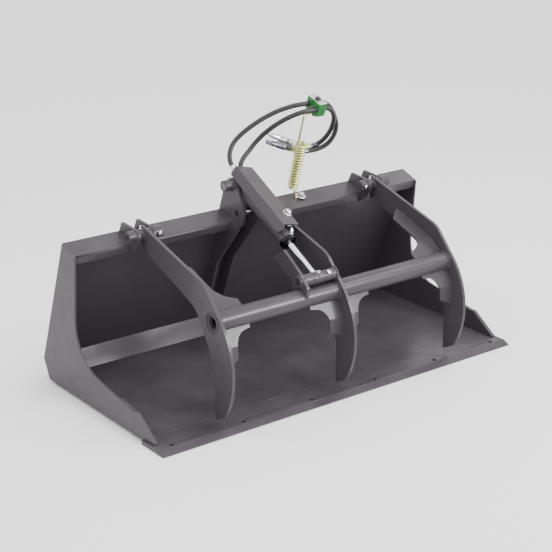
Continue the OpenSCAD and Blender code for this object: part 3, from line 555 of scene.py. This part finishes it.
FITTING_PROFILE = [(0, 9.5), (0.1, 10.6), (2, 11.3), (24, 11.3), (26, 10.4), (27, 9), (32, 9),
                   (49, 9), (50, 10), (54, 10), (55, 8)]
GRIP_RINGS = [(61 + k, 13 + 0.8 * (k % 2)) for k in range(12)]
SLEEVE_PROFILE = [(54, 8), (54.1, 12), (56, 13.8), (60, 13.8), *GRIP_RINGS, (82, 13.8), (83, 15.2),
                  (95.9, 15.2), (96, 15), (97, 13.8), (121, 13.8), (122, 12.8), (123, 11.4),
                  (124, 10.9), (149, 10.9), (150, 10.2), (150.1, 6)]
NOSE_PROFILE = [(148, 5), (148.1, 9.4), (150, 9.6), (154, 9.6), (155, 8.6), (157, 8.6), (158, 9),
                (174, 9), (176, 8.6), (177, 7.8), (177.1, 6.2), (165, 6.2), (164.9, 0.5)]


def coupler_pieces(place, rise, name, metals):
    """A quick coupler that goes on from the hose's end, to the left and up by a rise in degrees."""
    direction = (-math.cos(math.radians(rise)), 0, math.sin(math.radians(rise)))
    shapes = {"fitting": [turned(FITTING_PROFILE, 48), hexagon(24, 15, 33)],
              "sleeve": [turned(SLEEVE_PROFILE, 48)],
              "nose": [turned(NOSE_PROFILE, 48)]}
    made = []
    for (part, rings), metal in zip(shapes.items(), metals):
        placed = [on_ground(pointed(r, place, direction)) for r in rings]
        made.append(solid(f"{name}_{part}", placed, "bucket", metal,
                          name if part == "sleeve" else None))
    return made


couplers = {
    "base_hose": coupler_pieces(BASE_ROUTE[-1], 20, "coupler_front",
                                (brass_zinc, coupler_steel, coupler_steel)),
    "rod_hose": coupler_pieces(ROD_ROUTE[-1], 25, "coupler_rear",
                               (bright_zinc, bright_zinc, bright_zinc))}

# %% [markdown]
# Ferrules
#
# Each hose end is crimped: a steel sleeve is pressed in by dies, which leaves a groove near
# each of its ends. A straight tube would stick out of a hose that already bends there. So the
# sleeve is swept along the hose's own path, a little wider than the cover, and the rod hose
# has a nut between its sleeve and its coupler.


# %% Ferrules at the elbows and at the couplers
GROOVE_DEPTH = 0.0007
RIM_DEPTH = 0.0008


def sleeve_along(path, start, stop, outer):
    """A crimped sleeve swept along the hose, from one distance to another in metres."""
    s = np.linspace(start, stop, 40)
    t = (s - start) / (stop - start)
    groove = (np.abs(t - 0.2) < 0.025) | (np.abs(t - 0.8) < 0.025)
    rim = (t < 0.02) | (t > 0.98)
    return sweep(point_at(path, s), outer - GROOVE_DEPTH * groove - RIM_DEPTH * rim, 32)


# Length and outer radius of the sleeve at each elbow, in metres
FIRST_SLEEVE = {"base_hose": (0.072, 0.0117), "rod_hose": (0.032, 0.0107)}
# How far from the hose's end its nut starts and stops, in metres, and the length of the last sleeve
NUT_REACH = {"base_hose": 0.0, "rod_hose": 0.048}
NUT_END = 0.024
END_SLEEVE = 0.034
ferrules = {}
for name, path in hose_paths.items():
    reach, outer = FIRST_SLEEVE[name]
    whole = distances(path)[-1]
    start = whole - NUT_REACH[name]
    ferrules[name] = [
        solid(name + "_ferrule", [sleeve_along(path, 0.0, reach, outer)], "barrel", bright_zinc),
        solid(name + "_end_ferrule", [sleeve_along(path, start - END_SLEEVE, start, 0.0111)],
              "bucket", coupler_steel)]
    if NUT_REACH[name]:
        near, far = point_at(path, whole - NUT_END), point_at(path, start)
        nut = hexagon(24, (NUT_REACH[name] - NUT_END) * 1000)
        rings = [pointed(nut, near * 1000, far - near) / 1000,
                 sleeve_along(path, whole - NUT_END - 0.001, whole, 0.0105)]
        ferrules[name].append(solid(name + "_nut", rings, "bucket", yellow_zinc))

# %% [markdown]
# The hose covers in place
#
# When the grapple opens, the cylinder swings and takes the elbows with it, while the clamp
# stays. A hose that rode on either would tear off the other. Here each cover takes the place of
# its hose's solid, with its shape baked into its mesh, and is tied to neither body.

for name, path in hose_paths.items():
    cover = bpy.data.objects[name + "_cover"]
    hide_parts(name)
    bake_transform(cover)
    print(name, "carries", len(couplers[name] + ferrules[name]), "pieces")

# %% [markdown]
# The spring of the hose post
#
# The post is one wire: an eye under its bolt, a close wound coil, a straight length up to the
# clamp and another eye. A Screw modifier could wind it, but not run into the straight wire. So
# its line is a helix joined to straights and rings, with the corners eased, and the wire is
# swept along it. The dark gap that climbs between the turns is what the eye reads as a spring.

# %% Line of the wire
EYE_WIRE = 6.0
COIL_WIRE = 9.4
ARM_WIRE = 8.0
TURNS = 18
COIL_R = 17.3
COIL_LENGTH = 229.4
COIL_TILT = math.radians(-3.5)
COIL_FOOT = np.array([-34.0, 25.0, 31.0])
POST = np.array([247.0, -38.4, BACK_LENGTH])
CLAMP_H = 55.0
CLAMP = POST + np.array([-22.0, 24.5, 424.0])


def coil_points(turns, per_turn=20):
    """A helix: radius (cos a, sin a) about an axis that tilts in x as it climbs."""
    a = np.linspace(-np.pi / 2, -np.pi / 2 + 2 * np.pi * turns, int(turns * per_turn))
    climb = COIL_WIRE / 2 + (COIL_LENGTH - COIL_WIRE) * (a - a[0]) / (a[-1] - a[0])
    ring = np.stack([COIL_R * np.cos(a), COIL_R * np.sin(a), climb], 1)
    c, s = math.cos(COIL_TILT), math.sin(COIL_TILT)
    return COIL_FOOT + np.stack([ring[:, 0] * c + ring[:, 2] * s, ring[:, 1],
                                 ring[:, 2] * c - ring[:, 0] * s], 1)


def eye_points(centre, start, end, radius=10.0):
    """Part of a level ring of wire, from one angle in degrees to another."""
    a = np.radians(np.linspace(start, end, 28))
    return np.asarray(centre, float) + np.stack([radius * np.cos(a), radius * np.sin(a), 0 * a], 1)


coil = coil_points(TURNS - 0.25)
low_eye = np.array([0.0, 0.0, EYE_WIRE / 2])
top_eye = CLAMP - POST - [0, 0, CLAMP_H / 2 + EYE_WIRE / 2]
foot_start = low_eye + [-10, -2, 0]
foot_bend = low_eye + [-27, 3, 0]
head_bend = top_eye + [-54, -4, 0]
head_end = top_eye + [-10, 0, 0]
foot = eased(np.vstack([eye_points(low_eye, -150, 180), straight(foot_start, foot_bend)[1:],
                        straight(foot_bend, coil[0])[1:]]), 3)
head = eased(np.vstack([straight(coil[-1], head_bend)[:-1], straight(head_bend, head_end)[:-1],
                        eye_points(top_eye, 180, -150)]), 3)
print("spring:", TURNS, "turns, arm of", round(distances(head)[-1]), "mm")

# %% Wound wire
# The wire's thickness changes between these points of each line
foot_wire = np.interp(np.arange(len(foot)), [20, 40], [EYE_WIRE, COIL_WIRE])
head_wire = np.interp(np.arange(len(head)), [0, 4, 70, 90], [COIL_WIRE, ARM_WIRE, ARM_WIRE, EYE_WIRE])
solid("hose_spring_wire",
      [on_back(POST + sweep(foot, foot_wire / 2, 12, (0.1, 0.1, 1))),
       on_back(POST + sweep(coil, COIL_WIRE / 2, 12, (0, 0, 1)))],
      "bucket", yellow_zinc, "hose_spring")
solid("hose_spring_arm", [on_back(POST + sweep(head, head_wire / 2, 12, (0.3, 1, 0.1)))],
      "bucket", brass_zinc, "hose_spring")

# %% [markdown]
# Bolts
#
# A hexagon bolt is known by its turned off corners, its washer face and the thread that shows
# past the nut. A library bolt would have a full helix of thread, which is far too many faces
# for its size here. Each is a few turned rings, put where the solids have their plain bolts.


# %% Hexagon bolts
def thread(diameter, z0, z1, pitch=1.75):
    """A thread seen from outside: the radius goes in and out once per pitch."""
    count = max(3, int((z1 - z0) / pitch) * 4)
    z = np.linspace(z0, z1, count)
    r = diameter / 2 - 0.35 + 0.35 * np.cos(2 * np.pi * z / pitch)
    return turned([(z0, 0.2), *zip(z, r), (z1, 0.2)], 24)


def washer(z0, outer, inner, t):
    """A flat ring with a small round at its rim."""
    return turned([(z0, inner), (z0, outer - 0.4), (z0 + 0.4, outer), (z0 + t - 0.4, outer),
                   (z0 + t, outer - 0.4), (z0 + t, inner)], 40)


def bolt_rings(d, grip, washer_t=0.0, nut=True, across=None, tail=3.0, head=0.65, rim=1.28):
    """A bolt along z: its head sits on z = 0, its nut ends the grip below; rim d is its washer."""
    across = across or 1.6 * d
    face = across / 2 - 0.6
    rings = [hexagon(across, head * d, washer_t + 0.5),
             turned([(washer_t, 0.2), (washer_t, face), (washer_t + 0.6, face),
                     (washer_t + 0.6, 0.2)], 36),
             thread(d, -grip - 0.8 * d - tail, washer_t)]
    if washer_t:
        rings.append(washer(0, rim * d, d / 2 - 0.4, washer_t))
    if nut:
        rings.append(hexagon(across, 0.8 * d, -grip - 0.8 * d))
    return rings


# %% Bolts that keep the pins
KEEPER_D = 10.0
ROD_BOSS_IN = 25.0
ROD_KEEPER_INSET = 20.0
HINGE_KEEPER_X = TINE_PITCH - (EAR_OUT + BOSS_LENGTH / 2)
BASE_KEEPER_X = CYLINDER_X + TOWER_OUT + BOSS_LENGTH / 2
ROD_KEEPER_X = CYLINDER_X + ROD_BOSS_IN + ROD_KEEPER_INSET
HINGE_KEEPER_TURN = 69.8
ROD_KEEPER_TURN = 45


def keeper(x, at, axes, turn=0.0):
    """The bolt that keeps a pin in its boss, its head turned forward from straight up."""
    facing = np.array([0.0, -math.sin(math.radians(turn)), math.cos(math.radians(turn))])
    seat = np.array([x, at[0], at[1]]) + BOSS_D / 2 * facing
    return [axes(pointed(r, seat, facing)) for r in bolt_rings(KEEPER_D, BOSS_D)]


solid("pin_keepers",
      keeper(-HINGE_KEEPER_X, HINGE_AT, on_back, HINGE_KEEPER_TURN)
      + keeper(HINGE_KEEPER_X, HINGE_AT, on_back, HINGE_KEEPER_TURN)
      + keeper(BASE_KEEPER_X, BASE_AT, on_back),
      "bucket", bright_zinc, "pin_keeper_bolts")
solid("rod_keeper", keeper(ROD_KEEPER_X, ROD_AT, at_hinge, ROD_KEEPER_TURN),
      "grapple", bright_zinc, "rod_keeper_bolt")

# %% Bolts of the post and the clamp
post_rings = bolt_rings(12, TUBE_WALL + EYE_WIRE, washer_t=3.0, across=24.0, tail=4.0, head=0.95,
                        rim=1.7)
solid("post_bolt", [on_back(POST + r + [0, 0, EYE_WIRE]) for r in post_rings],
      "bucket", bright_zinc, "spring_bolt")

COVER_T = 3.0
CLAMP_WASHER_T = 2.0
clamp_top = CLAMP_H / 2 + COVER_T
clamp_foot = -CLAMP_H / 2 - EYE_WIRE - CLAMP_WASHER_T
clamp_rings = bolt_rings(10, clamp_top - clamp_foot, washer_t=1.6)
solid("clamp_fastener",
      [on_back(CLAMP + r + [0, 0, clamp_top]) for r in clamp_rings]
      + [on_back(CLAMP + washer(clamp_foot, 12, 4.8, CLAMP_WASHER_T))],
      "bucket", dark_steel, "clamp_bolt")

# %% [markdown]
# Painted shade in the clamp's holes
#
# Where a hose goes into the clamp, the hole looks darker than the hose, because shade falls in
# the gap round it. That could be cut into the clamp's solid, but it is thin, so it is a dark
# collar of its own round each hose, turned from a small closed profile: painted shade of the hole.

# %% Painted shade rings of the clamp's holes
HOLE_SHADE_PROFILE = [(-1, 9.3), (-1, 12.6), (1.2, 12.6), (1.9, 11.9), (1.9, 10.2), (0.6, 9.4)]
CLAMP_HALF_W = 19.0
HOSE_OFFSET = 23.5
hole_shade_rings = [on_back(pointed(turned(HOLE_SHADE_PROFILE, 40),
                        CLAMP + [side * CLAMP_HALF_W, across * HOSE_OFFSET, 0], (side, 0, 0)))
        for side in (-1, 1) for across in (-1, 1)]
# The dark_steel colour of these collars is painted shade: they stand for the shade in the holes round
# the hoses
solid("clamp_hole_shade", hole_shade_rings, "bucket", dark_steel, hollow=True)

# %% [markdown]
# The guard's bolt
#
# The folded guard is held by one bolt through its sloping flat. Its place could be turned by
# hand until it looks right. Two directions of the flat, out of it and across it, say it
# without guessing: so far across from the fold, so far along the cylinder, and facing out.

# %% Guard bolt
GUARD_FOLD = np.array([-17.0, 62.0, -34.0])
GUARD_SLOPE = math.radians(16)
GUARD_BOLT_ACROSS = 70.0
GUARD_BOLT_ALONG = 274.0
flat_out = np.array([math.sin(GUARD_SLOPE), math.cos(GUARD_SLOPE), 0])
flat_across = np.array([math.cos(GUARD_SLOPE), -math.sin(GUARD_SLOPE), 0])
guard_bolt_at = GUARD_FOLD + GUARD_BOLT_ACROSS * flat_across + [0, 0, GUARD_BOLT_ALONG]
guard_rings = bolt_rings(12, 11, washer_t=3.0, nut=False, across=24.0, tail=-8.0, head=0.95, rim=1.55)
solid("guard_fastener", [on_cylinder(pointed(r, guard_bolt_at, flat_out)) for r in guard_rings],
      "barrel", bright_zinc, "guard_bolt")

# %% [markdown]
# Elbows
#
# At each port a fitting turns the flow back along the barrel. The real one is a bent tube
# between a hexagon on the port and the crimped hose end. The solids turn their corner with a
# ball, which is enough for their job. A quarter circle swept with a round tube shows the bend.


# %% Port elbows
def elbow(turn, port, shank):
    """Up out of the barrel, a quarter circle of 11 mm, then back along it to the hose."""
    height, bend_r, tube_r = 30, 11, 7.6
    bend = np.linspace(0, np.pi / 2, 14)
    out = np.stack([0 * bend, height + bend_r * np.sin(bend),
                    port - bend_r + bend_r * np.cos(bend)], 1)
    top = height + bend_r
    path = np.vstack([[0, height - 4, port], [0, height - 1, port], out,
                      [0, top, port - shank * 0.6], [0, top, port - shank]])
    c, s = math.cos(turn), math.sin(turn)
    spin = np.array([[c, s, 0], [-s, c, 0], [0, 0, 1]])
    tube = sweep(path, tube_r, 20, (1, 0, 0))
    base = pointed(hexagon(22, 8), (0, height - 1, port), (0, 1, 0))
    collar = pointed(hexagon(19, 10), (0, top, port - shank), (0, 0, 1))
    return [on_cylinder(part @ spin) for part in (tube, base, collar)]


BASE_PORT = {"turn": math.radians(17.5), "port": 45, "shank": 29.6}
ROD_PORT = {"turn": math.radians(-49), "port": 318, "shank": 32.4}
solid("port_elbows", elbow(**BASE_PORT) + elbow(**ROD_PORT), "barrel", bright_zinc,
      "hose_elbows")

# %% [markdown]
# Welds
#
# Everything on this bucket is welded. A fillet bead shows as a fine rope of ripples in the
# corner between two plates, under the same paint. A bump could fake it, but its outline would
# stay straight. So each bead is a thin tube whose radius rises and falls every few millimetres,
# half sunk in the corner. All the beads of one body are one piece.


# %% Beads
def bead(path, size=4.0, pitch=5.0, up=(0.3, 0.5, 0.8)):
    """A tube along a path, its radius size (1 + 0.13 cos 2 pi s / pitch), s along the path.

    Two slow sines of s are added in the bracket, because no hand keeps an even speed.
    """
    path = np.asarray(path, float)
    whole = distances(path)[-1]
    s = np.linspace(0, whole, max(4, int(whole / pitch * 3)))
    drift = 0.08 * np.sin(s / 37.0) + 0.06 * np.sin(s / 11.0)
    radius = size * (1 + 0.13 * np.cos(2 * np.pi * s / pitch) + drift)
    radius[[0, -1]] = size * 0.4
    return sweep(point_at(path, s), radius, 8, up)


ACROSS = (1, 0.1, 0.1)


def ring_bead(axes, x, at, radius):
    """A bead all round a tube or a boss, where it stands on a plate at x."""
    a = np.radians(np.linspace(0, 360, 60))
    circle = np.stack([np.full_like(a, x), at[0] + radius * np.cos(a), at[1] + radius * np.sin(a)], 1)
    return axes(bead(circle, up=ACROSS))


# %% Beads of the grapple
CROSS_R = 36.5
ROD_BOSS_REACH = 88.0
LUG_INSET = 8.0
LUG_X = CYLINDER_X - ROD_BOSS_REACH + LUG_INSET
LUG_T = 13.0
LOWER_EDGE = np.array([[-14, -32.5], [-44, -91], [-46, -120], [-48, -160]])
UPPER_EDGE = np.array([[280, 136], [82, 64], [28, 23]])
GUSSET_FACES = (-1.0, 9.0)


def gusset_beads(x, edge, through):
    """Two beads in the plane x, along both faces of a gusset; through is its way from face to face."""
    lines = [CROSS_AT + edge + face * np.array(through) for face in GUSSET_FACES]
    return [at_hinge(bead(np.insert(line, 0, x, axis=1), 3.2, up=ACROSS)) for line in lines]


tine_faces = [x + side * TINE_T / 2 for x in (-TINE_PITCH, 0, TINE_PITCH) for side in (-1, 1)]
grapple_beads = [ring_bead(at_hinge, x, (0, 0), BOSS_D / 2) for x in tine_faces]
grapple_beads += [ring_bead(at_hinge, x, CROSS_AT, CROSS_R) for x in tine_faces]
grapple_beads += [ring_bead(at_hinge, x, ROD_AT, BOSS_D / 2)
                  for x in (LUG_X, LUG_X + LUG_T, -TINE_T / 2)]
for x in tine_faces[1:-1]:
    grapple_beads += gusset_beads(x, LOWER_EDGE, (1, 0))
    if abs(x) > TINE_T:
        grapple_beads += gusset_beads(x, UPPER_EDGE, (0, 1))
solid("grapple_welds", grapple_beads, "grapple", paint)

# %% [markdown]
# Shade in the gusset tab slots and thick tube ends
#
# The gussets have tabs that go through slots in the outer tines, and shade in each slot shows as
# a short dark line where the tab comes out. Outside, the cross tube's wall looks thicker than a
# stock tube's. Both could be painted on, but a drawn line has no depth. So the painted shade of a
# slot is a thin pointed dark tube sunk in the plate, and a ring turned from a closed profile lines
# each end of the tube.

# %% Painted shade of the tab slots, and tube ends
TAB_SLOTS = [((-365, -152), (-393, -168)), ((-474, -283), (-485, -301))]
SLOT_SHADE_RADII = [1, 2.2, 2.4, 2.4, 2.2, 1]
slot_shades = [at_hinge(sweep(np.linspace([x, *start], [x, *stop], len(SLOT_SHADE_RADII)), SLOT_SHADE_RADII, 8, ACROSS))
         for x in (tine_faces[0], tine_faces[-1]) for start, stop in TAB_SLOTS]
# The dark_steel colour of these thin tubes is painted shade: the shade in each tab slot
solid("gusset_tab_slot_shade", slot_shades, "grapple", dark_steel)

END_PROFILE = [(0, 25.6), (0.6, 24.6), (36, 24.6), (36, 30.4), (2, 30.4), (0, 30.2)]
TUBE_END_X = 566.0
ends = [at_hinge(pointed(turned(END_PROFILE, 48), (side * TUBE_END_X, *CROSS_AT), (-side, 0, 0)))
        for side in (-1, 1)]
solid("cross_tube_end_rings", ends, "grapple", paint, hollow=True)

# %% Beads of the bucket
TUBE_TOP = BACK_LENGTH + 0.7
RIB_UP = (52, 508)
TUBE_FACE_UP = (515, 551)
TOWER_ON_TUBE = (-90, -4)
EAR_ON_TUBE = (-90, -12)
SIDE_UP = (14, 508)
FLOOR_RUN = (150, 812)
FLOOR_TOP = 17


def plane_bead(axes, x, y, z, size=4.0):
    """A straight bead in the plane x; y and z are each one number or a pair, start and end."""
    ends = np.stack([np.full(2, x), np.broadcast_to(y, 2), np.broadcast_to(z, 2)], 1)
    return axes(bead(ends, size))


bucket_beads = []
for side in (-1, 1):
    for x in (-TINE_PITCH, TINE_PITCH):
        bucket_beads.append(ring_bead(on_back, x + side * EAR_OUT, HINGE_AT, BOSS_D / 2))
    bucket_beads.append(ring_bead(on_back, CYLINDER_X + side * TOWER_OUT, BASE_AT, BOSS_D / 2))
    for face in (TOWER_IN, TOWER_OUT):
        x = CYLINDER_X + side * face
        bucket_beads.append(plane_bead(on_back, x, -SHEET_T - 1, RIB_UP, 3.6))
        bucket_beads.append(plane_bead(on_back, x, TUBE_FRONT, TUBE_FACE_UP, 3.6))
        bucket_beads.append(plane_bead(on_back, x, TOWER_ON_TUBE, TUBE_TOP, 3.6))
    bucket_beads.append(plane_bead(on_ground, side * INNER_X, FLOOR_RUN, FLOOR_TOP))
    bucket_beads.append(plane_bead(on_back, side * INNER_X, -SHEET_T - 2, SIDE_UP))
for x in (-TINE_PITCH, TINE_PITCH):
    for face in (EAR_IN, EAR_OUT, -EAR_IN, -EAR_OUT):
        bucket_beads.append(plane_bead(on_back, x + face, EAR_ON_TUBE, TUBE_TOP, 3.4))
under_tube = [[end, -SHEET_T, BACK_LENGTH - TUBE_H] for end in (4 - INNER_X, INNER_X - 4)]
bucket_beads.append(on_back(bead(under_tube)))
solid("bucket_welds", bucket_beads, "bucket", paint)

# %% [markdown]
# Grease fittings
#
# Every pin is greased through a small nipple: a hexagon, a waist and a ball. They are tiny, and
# yet they are what tells a working pin from a plain rod. A sphere on a stick would do from far
# off. A turned profile takes no more faces, and it has the waist that catches the light.


# %% Grease fittings
STEM_PROFILE = [(4.5, 3.2), (5, 3.2), (7, 2.6), (9, 1.9), (10, 2.2), (11.5, 3.1), (13, 3.2),
                (14, 2.2), (14.3, 0.6)]
EYE_PROFILE = [(-7, 0.2), (-7, 14.5), (1.4, 14.5), (2.4, 13.5), (2.4, 11.2), (1.2, 10.2),
               (1.2, 5.4), (0.2, 5), (0.2, 0.2)]
EYE_AT = np.array([0.0, 23.0, 539.9])
HUB_TOP = BOSS_D / 2 - 0.4
HUB_FITTING_X = (-575, 15, 545)


def nipple(place, direction, axes):
    """A fitting 14 mm high on a place, its ball outwards."""
    parts = (hexagon(9, 5), turned(STEM_PROFILE, 20))
    return [axes(pointed(rings, place, direction)) for rings in parts]


hub_nipples = [nipple((x, 0, HUB_TOP), (0, 0, 1), at_hinge) for x in HUB_FITTING_X]
solid("hinge_grease_fittings", sum(hub_nipples, []), "grapple", bright_zinc)
solid("rod_eye_ring", [on_cylinder(pointed(turned(EYE_PROFILE, 48), EYE_AT, (0, 1, 0)))],
      "rod", pin_steel)
solid("rod_eye_grease_fitting", nipple(EYE_AT, (0, 1, 0), on_cylinder), "rod", bright_zinc)

# %% [markdown]
# The top tube
#
# A rectangular tube is rolled from strip, so its long corners are round, and a soft light lies
# along the front ones. A bevel on the solid could round it, but it would round the rear corners
# too, where the back sheet lies flat on the tube, and leave a dark groove. So a section with
# two radii is carried along the bucket, and stands for the solid.


# %% Rounded top tube
def rounded_tube(x, y, z, front, rear, steps=6):
    """A box from pairs of limits whose long edges are quarter circles, of two radii."""
    a = np.linspace(0, np.pi / 2, steps)
    corners = [(y[1], z[1], rear), (y[0], z[1], front), (y[0], z[0], front), (y[1], z[0], rear)]
    quarters = []
    for quarter, (cy, cz, r) in enumerate(corners):
        cy += r if cy == y[0] else -r
        cz += r if cz == z[0] else -r
        turn = a + quarter * np.pi / 2
        quarters.append(np.stack([cy + r * np.cos(turn), cz + r * np.sin(turn)], 1))
    section = np.concatenate(quarters)
    return np.stack([np.insert(section, 0, at, axis=1) for at in np.linspace(*x, 9)])


tube_rings = rounded_tube((-INNER_X, INNER_X), (TUBE_FRONT, -SHEET_T - 0.1),
                          (BACK_LENGTH - TUBE_H, BACK_LENGTH), front=8, rear=0.6)
box_tube = solid("top_tube_rounded", [on_back(tube_rings)], "bucket", paint, "top_tube")
box_tube.modifiers.new("shade", "WEIGHTED_NORMAL")

# %% [markdown]
# The solids that stay
#
# Plates, tubes and the cylinder keep their solids. They could be shown as they are, but no real
# edge is sharp: cutting, grinding and paint leave each one about a millimetre round. A live
# bevel does that without touching the mesh, and the thin bright line that it leaves along each
# edge is most of what makes a plate look real.

# %% Finishes and broken edges
SLOT_FINISH = {"grey_paint": paint, "pin_steel": pin_steel, "bright_zinc": bright_zinc,
               "yellow_zinc": yellow_zinc, "coupler_steel": coupler_steel,
               "clamp_plastic": clamp_green, "hose_rubber": hose_cover, "chrome": chrome}
NODE_FINISH = {"cylinder_gland": gland_black}
PLATE_EDGE = 0.0009
EDGE_WIDTH = {"cutting_edge": 0.0012, "side_cutter_left": 0.0012, "side_cutter_right": 0.0012,
              "cylinder_guard": 0.0011}
ROUND_PARTS = {"piston_rod", "piston", "cross_tube"}
slot_of = {p["node"]: p["material_slot"] for p in frame["record"]["subparts"]}


def break_edges(thing, width):
    """Merges the loose triangles, bevels what turns more than 30 degrees, evens the shading."""
    weld = thing.modifiers.new("merge", "WELD")
    weld.merge_threshold = 0.00002
    edge = thing.modifiers.new("edges", "BEVEL")
    edge.width = width
    edge.segments = 2
    edge.limit_method = "ANGLE"
    edge.angle_limit = math.radians(30)
    shade = thing.modifiers.new("shade", "WEIGHTED_NORMAL")
    shade.keep_sharp = False


for name, thing in nodes.items():
    thing.data.materials.clear()
    thing.data.materials.append(NODE_FINISH.get(name, SLOT_FINISH[slot_of[name]]))
    if not thing.hide_render and name not in ROUND_PARTS:
        break_edges(thing, EDGE_WIDTH.get(name, PLATE_EDGE))
print("solids that show:", sum(not thing.hide_render for thing in nodes.values()))

# %% [markdown]
# Floor and light
#
# The picture is a cut-out on white, with soft light from above. A white floor under a pale sky
# gives that soft fill, and three panels do the rest. One high on the right draws the edges, one
# above lights what faces up, and one low in front gives the steep plate behind the floor its
# bright band. The low one shows only in reflections, so that it doesn't flatten the sides.

# %% Floor
FLOOR_HALF = 40.0
FLOOR_Z = -0.001
FLOOR_CORNERS = [(-1, -1), (1, -1), (1, 1), (-1, 1)]
floor_mesh = bpy.data.meshes.new("floor")
floor_mesh.from_pydata([(x * FLOOR_HALF, y * FLOOR_HALF, 0) for x, y in FLOOR_CORNERS],
                       [], [(0, 1, 2, 3)])
floor = bpy.data.objects.new("floor", floor_mesh)
floor.location.z = FLOOR_Z
bpy.context.scene.collection.objects.link(floor)
floor_material, floor_shader, _, _ = new_material("floor_white")
floor_shader.inputs["Base Color"].default_value = (0.96, 0.96, 0.96, 1)
floor_shader.inputs["Roughness"].default_value = 0.8
floor_mesh.materials.append(floor_material)
print("floor is", 2 * FLOOR_HALF, "m wide")

# %% Sky and panels
world = bpy.data.worlds.new("studio")
bpy.context.scene.world = world
world.use_nodes = True
sky = world.node_tree.nodes["Background"]
sky.inputs["Color"].default_value = (1, 1, 1, 1)
sky.inputs["Strength"].default_value = 1.75


def panel(name, place, target, wide, watts):
    """A square soft light at a place, aimed at a target."""
    light = bpy.data.lights.new(name, "AREA")
    light.size = wide
    light.energy = watts
    lamp = bpy.data.objects.new(name, light)
    lamp.location = place
    aim = np.subtract(target, place)
    flat = math.hypot(aim[0], aim[1])
    lamp.rotation_euler = (math.atan2(flat, -aim[2]), 0, math.atan2(aim[1], aim[0]) - math.pi / 2)
    bpy.context.scene.collection.objects.link(lamp)
    print("panel", name, wide, "m wide,", watts, "W")
    return lamp


panel("key", (2.9, -1.9, 3.6), (0, -0.1, 0.4), 1.0, 52)
panel("above", (0.0, -1.3, 4.4), (0, 0, 0.3), 1.8, 120)
low = panel("low", (0.85, -2.0, 1.20), (-0.5, 0.4, 0.05), 0.8, 85)
low.visible_diffuse = False
